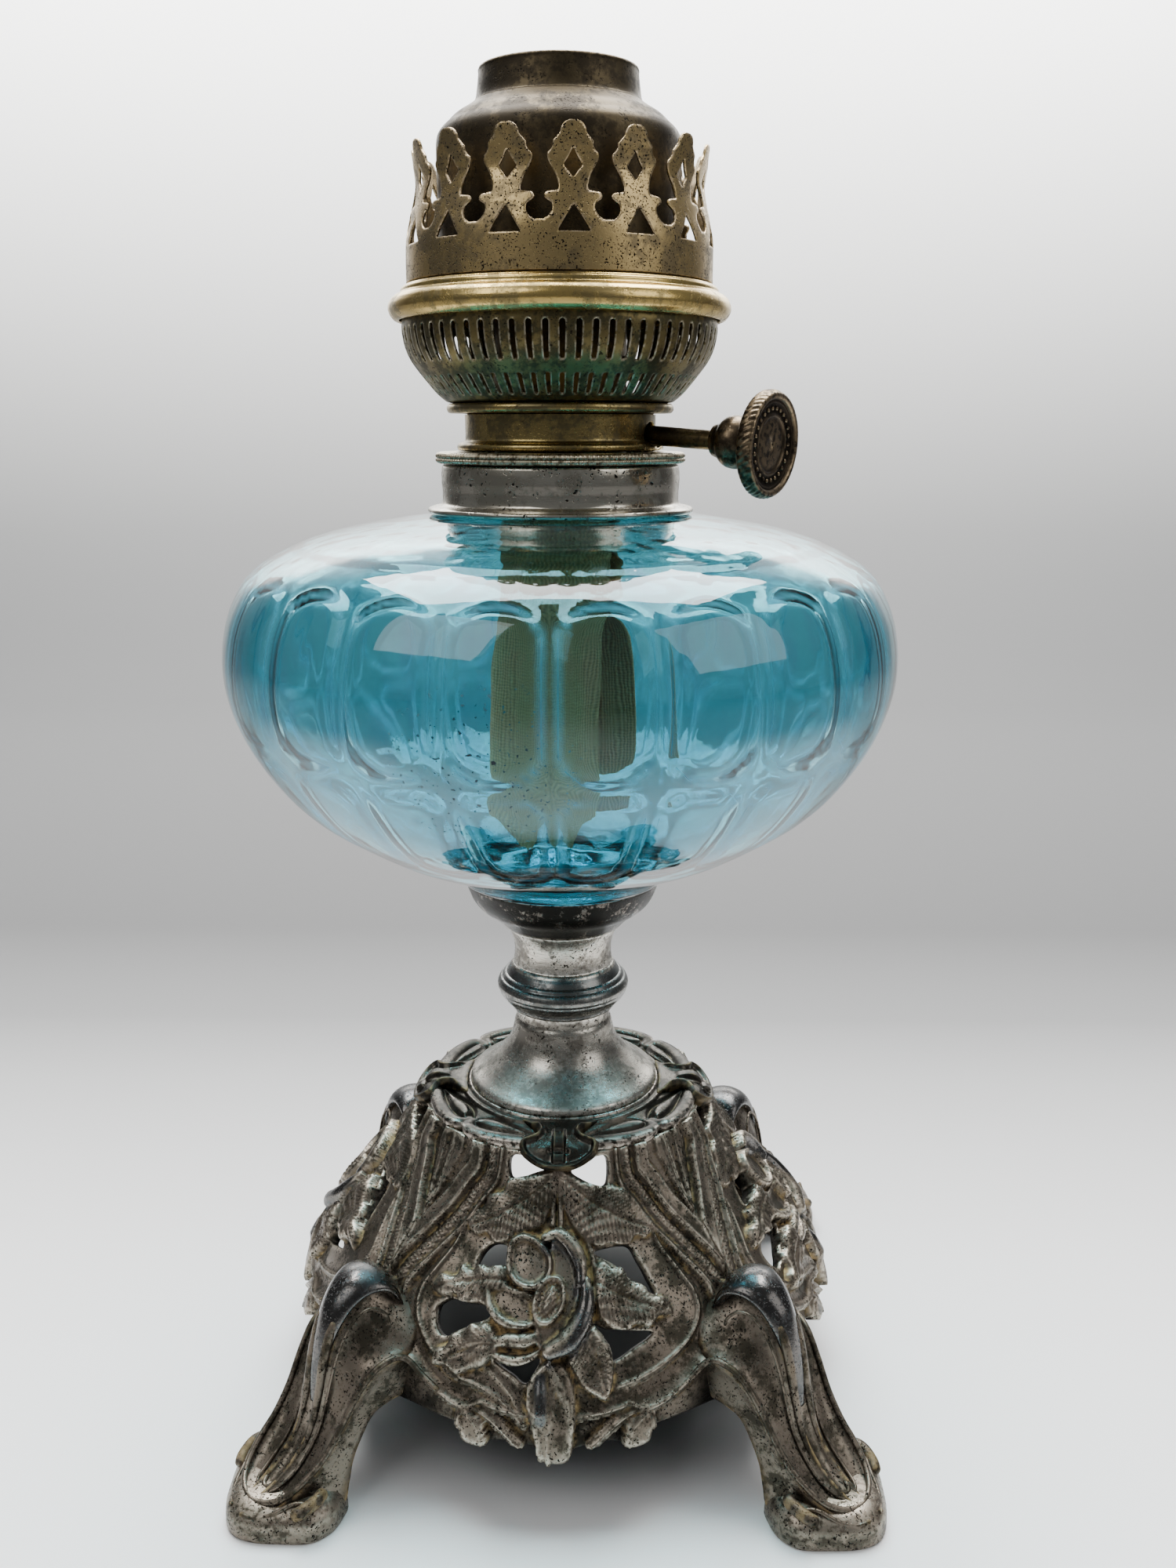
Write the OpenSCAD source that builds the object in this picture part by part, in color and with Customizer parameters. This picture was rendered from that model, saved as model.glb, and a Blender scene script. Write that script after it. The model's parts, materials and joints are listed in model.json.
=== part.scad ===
// Kerosene table lamp: openwork foot, turned stem, blue glass font,
// and a round-wick burner that unscrews from the font collar.
// Units are millimetres, Z is up, and the feet stand on Z = 0.

/* [Foot] */
// height of the base plate's top above the table
foot_h = 79.6; // [70:0.2:90]
// span over two neighbouring feet
foot_w = 154; // [140:1:170]
// thickness of the openwork casting
cast_t = 3.2; // [2.4:0.1:4]

/* [Stem] */
// height of the bell that stands on the base plate
bell_h = 20.2; // [17:0.2:26]
// height of the turned knop
knop_h = 12.2; // [10:0.2:15]
// largest radius of the knop
knop_r = 16.9; // [15.2:0.1:20]
// height of the waisted spool above the knop
spool_h = 10.6; // [8:0.2:16]
// radius of the tie rod
rod_r = 3; // [2.5:0.1:3.6]

/* [Font] */
// largest radius of the glass
font_r = 80.7; // [72:0.1:90]
// height of the glass from the cup's rim to the collar bead
font_h = 91.4; // [84:0.2:105]
// thickness of the glass
glass_t = 2.8; // [2:0.1:3.4]
// height of the cup that holds the glass
cup_h = 12.4; // [10.4:0.2:16]

/* [Collar] */
// outer radius of the collar
collar_r = 28; // [27.4:0.1:30]
// height of the collar above its bead
collar_h = 9.2; // [8:0.1:12]
// radial gap between the burner's screw skirt and the collar sleeve
screw_gap = 0.3; // [0.25:0.01:0.4]

/* [Burner] */
// height of the plain burner body
body_h = 8.7; // [8.5:0.1:10]
// radius of the plain burner body
body_r = 22.4; // [21.6:0.1:23]
// height of the slotted air basket
basket_h = 17.6; // [15:0.2:22]
// number of upright slots in each row of the basket
slot_n = 64; // [48:2:68]
// radial gap of the shaft in its bearing
shaft_gap = 0.05; // [0.02:0.01:0.09]

/* [Gallery] */
// height of the crown over the gallery ring
crown_h = 29; // [26:0.5:34]
// number of fronds in the crown
frond_n = 15; // [12:1:16]
// radius of the dome's neck
neck_r = 18; // [16.5:0.1:20]
// height of the dome's neck above its shoulder
neck_h = 9; // [6:0.5:14]

/* [Drive] */
// radius of the wick shaft
shaft_r = 2.2; // [1.8:0.1:2.3]
// distance of the knob's face from the lamp's middle, along the shaft
knob_d = 54; // [52:0.5:66]
// radius of the knob
knob_r = 11.8; // [10:0.1:13]

/* [Wick] */
// thickness of the wick
wick_t = 1.6; // [1.2:0.1:1.8]
// developed width of the wick
wick_w = 75; // [66:0.5:76]
// height of the wick's lower end above the cup's rim
wick_low = 12; // [10:0.5:40]

/* [Hidden] */
$fn = 96;
e = 0.01;
gap = 0.3;
sheet = 0.6;

fw = foot_w / 154;
fh = foot_h / 79.6;

// heights of the joints between pieces
z_under = foot_h - 4.2;
z_knop = foot_h + bell_h;
z_spool = z_knop + knop_h;
z_cup = z_spool + spool_h;
z_rim = z_cup + cup_h;
z_bead = z_rim + font_h;
z_collar = z_bead + 1.4;
z_ctop = z_collar + collar_h;
z_ring = z_ctop + gap;
z_body = z_ring + 2.6;
z_seat = z_body + body_h;
z_basket = z_seat + 2.2;
z_btop = z_basket + basket_h;
z_gal = z_btop + gap;
z_crown = z_gal + 8;
z_tip = z_crown + crown_h;
z_neck = z_tip + 7.5;
z_top = z_neck + neck_h;

// burner radii, from the wick outwards
air_r = 12.2;
wick_ri = air_r + 0.6;
wick_ro = wick_ri + wick_t;
tube_ri = wick_ro + 0.6;
tube_ro = tube_ri + 0.5;
skirt_r = 23.2;
skirt_ri = skirt_r - 1.4;
sleeve_ri = skirt_r + screw_gap;
sleeve_ro = sleeve_ri + 0.8;
pitch = 2;
gneck_ri = sleeve_ro + 0.2;
gneck_ro = collar_r - 1.1;

// wick drive: the shaft passes beside the middle, inside the wick's curve
az = -34;
tilt = 3.5;
shaft_y = 5.5;
z_shaft = z_body + 5.1;
wheel_x = 3;
wheel_t = 0.8;
wheel_r = sqrt(pow(wick_ri, 2) - pow(wheel_x + wheel_t / 2, 2)) - shaft_y - 0.4;
gap_az = az + 24;
z_air = z_shaft + wheel_r + 1.4;
// how far the wick and its tubes stay under the crown's tips
wick_drop = 5;
z_wtop = z_tip - wick_drop;

// helpers

module turn(p) { rotate_extrude() polygon(p); }

function back(p) = [for (i = [len(p) - 1 : -1 : 0]) p[i]];

// the line p moved sideways by t, to the left of its direction
function normal_of(v) = [-v[1], v[0]] / norm(v);
function inset(p, t) = [for (i = [0 : len(p) - 1])
    let (a = p[max(i - 1, 0)], b = p[min(i + 1, len(p) - 1)], q = p[i] + normal_of(b - a) * t)
    [max(q[0], 0), q[1]]];

module shell(p, t) { turn(concat(p, back(inset(p, t)))); }

module disc(ro, ri, z, h) {
    translate([0, 0, z]) difference() {
        cylinder(h = h, r = ro);
        translate([0, 0, -1]) cylinder(h = h + 2, r = ri);
    }
}

// a shape drawn in x and z, standing between two distances in front of the middle
module facing(y0, y1) {
    translate([0, -y0, 0]) rotate([90, 0, 0]) linear_extrude(y1 - y0) children();
}

module hex_nut(z, h, r, bore) {
    translate([0, 0, z]) linear_extrude(h) difference() {
        polygon([for (i = [0 : 5]) [r * cos(60 * i), r * sin(60 * i)]]);
        circle(r = bore);
    }
}

// foot: flared openwork casting, legs and plate

flare = [for (q = [[70, 14], [69.6, 20], [67.4, 28], [64.2, 35], [60, 42], [54.4, 49],
    [48, 56], [42.2, 63.7], [38.6, 70], [36, 75.4]]) [q[0] * fw, q[1] * fh]];

module flare_band(inside, outside) {
    turn(concat([for (q = flare) [q[0] + outside, q[1]]],
        back([for (q = flare) [q[0] - inside, q[1]]])));
}

function sized(p) = [for (q = p) [q[0] * fw, q[1] * fh]];
function flip(p) = [for (q = back(p)) [-q[0], q[1]]];

panel_side = [[11, 75.4], [14.2, 69], [19.3, 63.7], [23.3, 58], [29.4, 53], [33.7, 49],
    [34.5, 46], [35, 40], [36, 34], [36, 24.4]];
apron = [[30, 23.8], [23.4, 23.2], [22, 21], [16, 20.8], [11.4, 20.8], [6, 19.6], [2, 17.6]];
flange_side = concat(panel_side, [[40, 24.6], [44, 22.4], [46, 19], [70, 19], [70, 75.4]]);

module panel_shape() {
    half = concat(panel_side, apron);
    polygon(sized(concat(half, flip(half))));
}

module panel_windows() {
    for (w = [
        [[-11.4, 74.3], [-8.5, 73.1], [-3.4, 71.6], [-3.4, 70.6], [-5.4, 69.8], [-11.4, 70]],
        [[10.8, 74.3], [11.4, 73.6], [11.4, 69.4], [8.8, 68.9], [4, 70.3], [3.4, 71.4], [7, 72.8]],
        [[-19.6, 53.4], [-17, 57], [-13.8, 57.4], [-11.6, 55.8], [-12.4, 53.5], [-15.3, 53]],
        [[-27.6, 44.3], [-26.8, 46.5], [-22.9, 47.8], [-17.7, 47], [-15.2, 45.7], [-15.9, 43.6],
            [-20.9, 43.1], [-23.7, 41.8], [-26.6, 42.4]],
        [[9.5, 56.8], [12.9, 57.3], [16.4, 56.4], [20.4, 53.7], [22.7, 49.8], [19.8, 50.5],
            [14.7, 52.5], [11.8, 53.6]],
        [[9.1, 43.7], [13, 42.9], [22.1, 42.6], [19.8, 39.3], [14.2, 37.3], [12.5, 40.2]],
        [[-14.2, 38.5], [-10.6, 36.9], [-4.1, 37.2], [-3.6, 35.3], [-6.6, 32.9], [-10, 35.2]]])
        polygon(sized(w));
}

module panel_leaves() {
    for (w = [
        [[-1, 71], [-8, 70], [-13.6, 66.6], [-18.6, 63], [-20.4, 58.6], [-14.4, 57.8], [-8, 59.6],
            [-2, 61.6]],
        [[1, 71], [8, 69.6], [13.6, 67], [18.8, 63.4], [20.8, 58.6], [15.4, 57.8], [8.4, 58.6],
            [2, 61.6]],
        [[-13, 46], [-17, 51.4], [-23, 52.6], [-28.6, 50.4], [-24, 49.2], [-18, 48.2]],
        [[-11, 41.4], [-17.4, 42.2], [-23.4, 40], [-27.6, 35], [-21.6, 34.4], [-14.8, 36.6]],
        [[9, 52], [15, 51.4], [22, 48], [29.4, 45.4], [24.4, 43.8], [16, 44.4], [9.4, 45]],
        [[6.4, 37.4], [11.6, 36.4], [14.4, 31.8], [13, 26.6], [9.4, 28.4], [6.4, 33]],
        [[-2.8, 33.2], [0, 35], [2.8, 33.2], [4.6, 29], [4.2, 23], [2.6, 19.4], [-2.6, 19.4],
            [-4.2, 23], [-4.6, 29]]])
        polygon(sized(w));
}

module panel() {
    color("#7d7466") {
        intersection() {
            flare_band(cast_t, 0);
            facing(10, 120) difference() { panel_shape(); panel_windows(); }
        }
        intersection() {
            flare_band(1, 1.6);
            facing(10, 120) panel_leaves();
        }
        // rose: five petals round a button, square to the flare
        translate([-2.4 * fw, -53.8 * fw, 46.6 * fh]) rotate([52, 0, 0]) {
            cylinder(h = 4, r = 8.6 * fw);
            for (i = [0 : 4]) rotate([0, 0, 72 * i + 18])
                translate([6.6 * fw, 0, 0]) cylinder(h = 5, r = 4.6 * fw);
            translate([0, 0, 3]) sphere(r = 3.4);
        }
    }
}

// a leg seen from the side, along the corner's diagonal and upwards
leg_front = [[50, 47], [58, 46.5], [62, 49.5], [66, 51.8], [70.4, 51.2], [74, 48.2], [77.6, 42.6],
    [80.2, 34.5], [82, 26], [84.2, 18.6], [88, 12.6], [92, 9.6], [97, 7.8], [101, 6.2],
    [103.4, 4], [104, 0]];
leg_back = [[80, 0], [77.6, 4], [75.4, 8], [71.6, 17], [68, 22], [64, 27], [60, 32],
    [56, 38], [50, 42]];
// half of its plan: the wedge of the knee, the shank and the foot
knee_plan = [[50, 8], [56, 12.6], [62, 14.4], [66.5, 13.8], [72, 12.4], [76, 9.6], [79.4, 6.4],
    [82.6, 3.2], [83.4, 0]];
shank_plan = [[60, 10.8], [84, 10.6], [90, 10.2], [96, 7.6], [99.6, 4], [100.6, 0]];
sole_plan = [[79, 12], [82, 14.4], [86, 15.6], [91, 16], [93.6, 15], [98.4, 10.4], [102, 6.4],
    [104, 3], [104.6, 0]];
// and half of it seen from outside, towards the middle
leg_breadth = [[0, 53], [5.4, 52], [8.6, 49], [10.6, 45], [12.6, 39], [14.6, 33], [16.4, 10], [16.4, 0]];

function both(p) = concat(p, [for (q = back(p)) [q[0], -q[1]]]);

module leg_prism(half, z0, z1) {
    translate([0, 0, z0 * fh]) linear_extrude((z1 - z0) * fh) polygon(fw * both(half));
}

// one corner, drawn with its diagonal along +X
module leg() {
    half_panel = sized(concat([[-1, 75.4]], panel_side, apron, [[-1, 17.6]]));
    color("#756c5f") {
        difference() {
            intersection() {
                rotate([90, 0, 0]) translate([0, 0, -20]) linear_extrude(40)
                    polygon(sized(concat(leg_front, leg_back)));
                rotate([90, 0, 90]) linear_extrude(120 * fw)
                    polygon(sized(concat(leg_breadth, flip(leg_breadth))));
                union() {
                    leg_prism(knee_plan, 24, 60);
                    leg_prism(shank_plan, 6, 24 + e);
                    leg_prism(sole_plan, 0, 7);
                }
            }
            rotate([0, 0, 45]) facing(0, 120) polygon(half_panel);
            rotate([0, 0, 135]) facing(0, 120) polygon(flip(half_panel));
        }
        intersection() {
            flare_band(cast_t, 0.8);
            rotate([0, 0, 45]) facing(0, 120) polygon(sized(flange_side));
            rotate([0, 0, 135]) facing(0, 120) polygon(sized(flip(flange_side)));
        }
    }
}

// four-lobed top of the foot, with a hanging tip on each side
module base_plate() {
    color("#8a8275") difference() {
        union() {
            intersection() {
                turn([[0, z_under], [37.4, z_under], [37.6, z_under + 1], [35.6, z_under + 1.8],
                    [32, z_under + 2], [27.6, z_under + 3.4], [24.6, foot_h], [0, foot_h]]);
                translate([-33.4, -33.4, z_under]) cube([66.8, 66.8, 6]);
            }
            for (a = [0 : 90 : 270]) rotate([0, 0, a]) facing(33.4, 37)
                polygon([[-6.4, z_under], [-5, z_under + 2], [5, z_under + 2], [6.4, z_under]]);
        }
        translate([0, 0, z_under - 1]) cylinder(h = 8, r = rod_r + gap);
    }
}

// stem

module stem_bell() {
    color("#9a9488") difference() {
        turn([[0, foot_h], [24.4, foot_h], [24, foot_h + 1.6], [20, foot_h + 4.5], [17.35, foot_h + 6.5],
            [15.4, foot_h + 8.5], [14.2, foot_h + 10.5], [12.9, foot_h + 0.7 * bell_h],
            [12.5, foot_h + 0.79 * bell_h], [11.6, foot_h + 0.88 * bell_h],
            [11.6, foot_h + 0.96 * bell_h], [12.2, z_knop], [0, z_knop]]);
        turn([[0, foot_h - 1], [22.4, foot_h - 1], [21.8, foot_h + 1], [18, foot_h + 3.7],
            [15.4, foot_h + 5.6], [13, foot_h + 8], [11.6, foot_h + 10.4], [10.4, foot_h + 0.7 * bell_h],
            [9.4, foot_h + 0.88 * bell_h], [0, foot_h + 0.88 * bell_h]]);
        translate([0, 0, foot_h]) cylinder(h = 40, r = rod_r + gap);
    }
}

module stem_knop() {
    color("#6c665c") difference() {
        turn([[0, z_knop], [12.2, z_knop], for (q = [[0.12, 0.08], [0.42, 0.27], [0.72, 0.38],
            [0.92, 0.48], [1, 0.57], [0.95, 0.66], [0.66, 0.78], [0.3, 0.9]])
            [12.2 + (knop_r - 12.2) * q[0], z_knop + knop_h * q[1]], [12.9, z_spool], [0, z_spool]]);
        translate([0, 0, z_knop - 1]) cylinder(h = knop_h + 2, r = rod_r + gap);
    }
}

module stem_spool() {
    color("#9a9488") difference() {
        turn([[0, z_spool], [12.8, z_spool], [12.5, z_spool + 0.16 * spool_h],
            [12.5, z_spool + 0.4 * spool_h], [12.9, z_spool + 0.64 * spool_h],
            [13.5, z_spool + 0.8 * spool_h], [14.4, z_cup], [0, z_cup]]);
        translate([0, 0, z_spool - 1]) cylinder(h = spool_h + 2, r = rod_r + gap);
    }
}

cup_t = 1.2;
cup_line = [for (q = [[14.4, 0], [15.6, 0.6], [17.1, 2], [18.7, 3.5], [21, 5], [22.4, 6.5],
    [23.3, 8.2], [24.3, 11], [24.9, 12.4]]) [q[0], z_cup + q[1] * cup_h / 12.4]];

module font_cup() {
    color("#6f6a62") {
        // the rim is turned off flat, clear of the glass
        intersection() {
            shell(cup_line, cup_t);
            cylinder(h = z_rim, r = font_r);
        }
        disc(14.2, rod_r + gap, z_cup, 1.5);
    }
}

module cup_cement() {
    k = cup_h / 12.4;
    color("#d8d2c4") turn([[0, z_cup + 5.2 * k], [19.2, z_cup + 5.2 * k],
        [21.2, z_cup + 7.6 * k], [0, z_cup + 7.6 * k]]);
}

module tie_rod() {
    color("#8d8d8d") translate([0, 0, foot_h - 10])
        cylinder(h = z_cup + 3.9 - foot_h + 10, r = rod_r);
}

module cup_nut() { color("#8d8d8d") hex_nut(z_cup + 1.5, 2.2, 7, rod_r); }

module base_nut() { color("#8d8d8d") hex_nut(z_under - 4, 4, 7, rod_r); }

// font

function font_x(r) = r <= 27 ? r : 27 + (r - 27) * (font_r - 27) / (80.7 - 27);
font_line = [[0, z_rim - 4.6], [18, z_rim - 4.6], [21.6, z_rim - 3.2], [23, z_rim - 1],
    [23.1, z_rim + 0.1],
    for (q = [[25.4, 0.25], [27.2, 1.6], [32.1, 4.6], [38.6, 7.6], [45.5, 10.6], [50.8, 13.6],
        [55.6, 16.6], [60.1, 19.6], [63.8, 22.6], [68.2, 27.1], [72.7, 33.1], [76.2, 39.1],
        [78.7, 45.1], [80.25, 51.1], [80.7, 57.1], [80.1, 63.1], [78.5, 69.1], [75.4, 75.1],
        [71.8, 78.7], [67.5, 81.5], [61.9, 84.1], [57.5, 85.6], [51.9, 87.1], [43.8, 88.6],
        [34.9, 90.0], [30, 90.5], [27.6, 90.9]]) [font_x(q[0]), z_rim + q[1] * font_h / 91.4],
    [gneck_ro, z_bead + 0.6]];

module glass_font() {
    line = [for (i = [0 : len(font_line) - 2]) font_line[i]];
    inner = inset(line, glass_t);
    color([0.1, 0.45, 0.55, 0.4]) turn(concat(font_line,
        [[gneck_ro, z_ctop - 2.4], [gneck_ri, z_ctop - 2.4], [gneck_ri, z_bead - glass_t]],
        back([for (i = [1 : len(inner) - 4]) inner[i]]), [[0, z_rim - 4.6 + glass_t]]));
}

module font_collar() {
    color("#a39c90") turn([[27.5, z_bead - 0.2], [31, z_bead - 0.5], [31.5, z_bead + 0.3],
        [31.1, z_bead + 1], [29.2, z_collar], [collar_r, z_collar + 0.2],
        [collar_r + 0.3, z_collar + 0.5 * collar_h], [collar_r, z_ctop - 0.4], [collar_r - 0.3, z_ctop],
        [sleeve_ro, z_ctop], [sleeve_ro, z_ctop - 0.8], [collar_r - 0.9, z_ctop - 0.8],
        [collar_r - 0.9, z_collar], [collar_r - 0.9, z_bead + 0.7]]);
}

module collar_sleeve() {
    color("#8e8466") disc(sleeve_ro, sleeve_ri, z_bead - 0.6, z_ctop - z_bead + 0.6);
}

module collar_cement() { color("#d8d2c4") disc(collar_r - 1, sleeve_ro + 0.05, z_ctop - 2.4, 1.6); }

// burner

module screw_ring() {
    threads = floor(collar_h / pitch) - 1;
    color("#8f7d4c") {
        turn([[skirt_ri, z_ring - collar_h + 1], [skirt_r - 0.6, z_ring - collar_h + 1],
            [skirt_r - 0.4, z_ring - collar_h + 1.4], [skirt_r - 0.4, z_ring], [29, z_ring],
            [29.5, z_ring + 0.5], [29.5, z_ring + 2.1], [29, z_body], [skirt_ri, z_body]]);
        for (i = [0 : threads]) let (z = z_ring - collar_h + 1.6 + pitch * i)
            turn([[skirt_r - 0.5, z], [skirt_r - 0.1, z + 0.4], [skirt_r - 0.1, z + 0.6],
                [skirt_r - 0.5, z + 1]]);
    }
}

module burner_body() {
    color("#76633a") difference() {
        turn([[tube_ro, z_body + gap], [24.1, z_body + gap], [24.3, z_body + 1.2], [23.4, z_body + 2.2],
            [body_r, z_body + 2.4], [body_r, z_seat], [tube_ro, z_seat], [tube_ro, z_seat - 0.8],
            [body_r - 0.8, z_seat - 0.8], [body_r - 0.8, z_body + 1.2], [tube_ro, z_body + 1.2]]);
        drive() for (s = [-1, 1]) translate([0, s * 0.7, 19]) cylinder(h = 12, r = shaft_r + 0.9);
    }
}

module basket_seat() {
    color("#76633a") turn([[21, z_seat], [25.8, z_seat], [26.6, z_seat + 0.6], [26.6, z_seat + 1.6],
        [26, z_basket], [21, z_basket]]);
}

module air_basket() {
    line = [for (q = [[25.6, 0], [27.2, 0.02], [28.8, 0.12], [32.9, 0.4], [34.9, 0.58], [36, 0.75],
        [36.4, 0.9], [36.4, 1]]) [q[0], z_basket + q[1] * basket_h]];
    color("#6b6440") difference() {
        turn(concat([[21.8, z_basket]], line, [[35.8, z_btop], [35.8, z_basket + 0.9 * basket_h],
            [35.4, z_basket + 0.75 * basket_h], [34.2, z_basket + 0.58 * basket_h],
            [32.2, z_basket + 0.4 * basket_h], [28, z_basket + 0.12 * basket_h],
            [26.9, z_basket + 0.6], [21.8, z_basket + 0.6]]));
        for (i = [0 : slot_n - 1]) rotate([0, 0, (i + 0.5) * 360 / slot_n]) {
            translate([26, -0.5, z_basket + 0.08 * basket_h]) cube([12, 1, 0.26 * basket_h]);
            translate([30, -0.6, z_basket + 0.5 * basket_h]) cube([10, 1.2, 0.42 * basket_h]);
        }
    }
}

// the side duct that feeds the inner tube passes through the wick's gap
module duct(w, z0, z1, x0) {
    rotate([0, 0, gap_az]) translate([x0, -w / 2, z0]) cube([tube_ro + 0.5 - x0, w, z1 - z0]);
}

module outer_wick_tube() {
    color("#8a774b") difference() {
        disc(tube_ro, tube_ri, z_ring - 5, z_wtop - z_ring + 5);
        duct(8, z_air + 1, z_air + 9, 10);
        drive() translate([0, 0, 8]) cylinder(h = 12, r = shaft_r + 0.6);
    }
}

module inner_air_tube() {
    color("#8a774b") difference() {
        union() {
            translate([0, 0, z_air]) cylinder(h = z_wtop - 1 - z_air, r = air_r);
            intersection() {
                duct(7.9, z_air + 1.05, z_air + 8.95, 5);
                translate([0, 0, z_air]) cylinder(h = 12, r = tube_ro);
            }
        }
        translate([0, 0, z_air + 0.6]) cylinder(h = z_wtop, r = air_r - 0.5);
        duct(6.9, z_air + 1.55, z_air + 8.45, 0);
    }
}

module wick_shaft() {
    color("#6d5a3a") drive() translate([0, 0, -7]) cylinder(h = knob_d + 5.4, r = shaft_r);
}

module spur_wheels() {
    color("#6d5a3a") drive() for (x = [-wheel_x, wheel_x]) translate([0, 0, x - wheel_t / 2])
        linear_extrude(wheel_t) difference() {
            union() {
                circle(r = wheel_r - 1.1);
                for (i = [0 : 15]) rotate(22.5 * i) polygon([[wheel_r - 1.6, -0.9],
                    [wheel_r, -0.16], [wheel_r, 0.16], [wheel_r - 1.6, 0.9]]);
            }
            circle(r = shaft_r);
        }
}

module shaft_bearing() {
    color("#76633a") difference() {
        drive() translate([0, 0, 16]) {
            cylinder(h = 3.4, r = shaft_r + 0.9);
            translate([0, -2, 0]) cube([3.6, 4, 3.4]);
        }
        drive() translate([0, 0, 12]) cylinder(h = 10, r = shaft_r + shaft_gap);
        translate([0, 0, z_body - 4]) cylinder(h = 5.2, r = 30);
    }
}

module drive() {
    rotate([0, 0, az]) translate([0, shaft_y, z_shaft]) rotate([0, 90 + tilt, 0]) children();
}

module knob_hub() {
    color("#6d5a3a") drive() difference() {
        turn([[0, knob_d - 15], [3.7, knob_d - 15], [4, knob_d - 13.6], [5.2, knob_d - 12.4],
            [5.8, knob_d - 10.6], [5.8, knob_d - 8.6], [5, knob_d - 6.8], [4.4, knob_d - 4.6],
            [4.6, knob_d - 3.4], [0, knob_d - 3.4]]);
        translate([0, 0, knob_d - 20]) cylinder(h = 20, r = shaft_r);
    }
}

module wick_knob() {
    color("#66573c") drive() difference() {
        turn([[0, knob_d - 3.4], [knob_r - 3, knob_d - 3.4], [knob_r - 0.8, knob_d - 3.8],
            [knob_r, knob_d - 3],
            [knob_r, knob_d - 0.6], [knob_r - 0.5, knob_d], [knob_r - 1.6, knob_d],
            [knob_r - 2.4, knob_d - 1], [0.55 * knob_r, knob_d - 1.2], [0.52 * knob_r, knob_d - 0.9],
            [0.46 * knob_r, knob_d - 0.9], [0.43 * knob_r, knob_d - 1.3], [0, knob_d - 1.4]]);
        translate([0, 0, knob_d - 8]) cylinder(h = 6.4, r = shaft_r);
    }
}

// gallery

module gallery_ring() {
    color("#9b8248") turn([for (q = [[36.9, 0], [38.4, 0.6], [39.5, 2.9], [38.8, 5], [36.8, 6.4],
        [36.2, 7.2], [35.2, 8], [33.2, 8], [33.2, 7.2], [34.6, 7.2], [34.6, 6.4], [36.2, 5.4],
        [37.8, 3.8], [38.2, 2.6], [37.6, 1.4], [36.9, 0.9]]) [q[0], z_gal + q[1]]]);
}

crown_line = [for (q = [[35, 0], [35, 0.268], [34.4, 0.395], [33.5, 0.515], [32.9, 0.657],
    [33, 0.797], [33.9, 1]]) [q[0], z_crown + q[1] * crown_h]];

// the space between two fronds, and the holes inside one, in angle steps and height
module crown_gap() {
    p = 2 * PI * 33.6 / frond_n;
    h = crown_h;
    half = [[0.05, 0.362], [0.11, 0.372], [0.17, 0.41], [0.2, 0.47], [0.16, 0.52], [0.1, 0.545],
        [0.11, 0.59], [0.2, 0.63], [0.27, 0.7], [0.25, 0.77], [0.17, 0.82], [0.14, 0.87],
        [0.18, 0.92], [0.28, 0.96], [0.42, 1.02], [0.42, 1.1]];
    polygon([for (q = concat(half, flip(half))) [q[0] * p, z_crown + q[1] * h]]);
}

module crown_holes() {
    p = 2 * PI * 33.6 / frond_n;
    h = crown_h;
    polygon([for (q = [[-0.21, 0.31], [0.21, 0.31], [0.1, 0.38], [0.02, 0.5], [-0.02, 0.5], [-0.1, 0.38]])
        [q[0] * p, z_crown + q[1] * h]]);
    polygon([for (q = [[0, 0.7], [0.1, 0.79], [0, 0.9], [-0.1, 0.79]]) [q[0] * p, z_crown + q[1] * h]]);
}

module gallery_crown() {
    color("#84703f") difference() {
        turn(concat(crown_line, back([for (q = crown_line) [q[0] - sheet, q[1]]])));
        for (i = [0 : frond_n - 1]) rotate([0, 0, 7 + 360 * i / frond_n]) {
            facing(dome_r, dome_r + 12) crown_holes();
            rotate([0, 0, 180 / frond_n]) facing(dome_r, dome_r + 12) crown_gap();
        }
    }
}

dome_r = 27.6;

// perforated plate under the dome, which the chimney stands on
module chimney_plate() {
    color("#7c6a3f") difference() {
        disc(34.2, dome_r - sheet, z_crown, 0.6);
        for (i = [0 : 23]) rotate([0, 0, 15 * i]) translate([31, 0, z_crown - 1])
            cylinder(h = 3, r = 1.4, $fn = 24);
    }
}

module burner_dome() {
    line = [[dome_r, z_crown + 0.6], [dome_r, z_tip - 1], [27.4, z_tip + 2], [26.4, z_tip + 3.6],
        [25.2, z_tip + 5.6], [24, z_tip + 6.9], [21.8, z_neck + 0.4], [neck_r + 1, z_neck + 1.8]];
    color("#7c6a3f") shell(line, sheet);
}

module dome_neck() {
    line = [[neck_r + 1, z_neck + 1.8], [neck_r + 0.3, z_neck + 3], [neck_r, z_neck + 0.7 * neck_h],
        [neck_r - 0.1, z_top]];
    color("#7c6a3f") shell(line, sheet);
}

// wick: a band bent to an open curve, narrow in the burner and wider in the font

wick_steps = [[z_wtop, 0], [z_air - 2, 0], [z_ring - 14.4, 0], [z_bead - 12, 0.12],
    [z_bead - 20, 0.36], [z_bead - 34, 0.68], [z_bead - 52, 0.9], [z_rim + wick_low, 1]];
wick_n = 28;

function wick_arc(s, r, dx) = let (half = wick_w * 90 / PI / (r + wick_t / 2))
    [for (i = [0 : wick_n]) let (a = gap_az + 180 + half * (2 * i / wick_n - 1))
        [(r + s) * cos(a) + dx * cos(gap_az), (r + s) * sin(a) + dx * sin(gap_az)]];

function wick_ring(k) = let (z = wick_steps[k][0], m = wick_steps[k][1], r = wick_ri + 10.4 * m,
    arc = concat(wick_arc(0, r, 5 * m), back(wick_arc(wick_t, r, 5 * m))))
    [for (q = arc) [q[0], q[1], z]];

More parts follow.
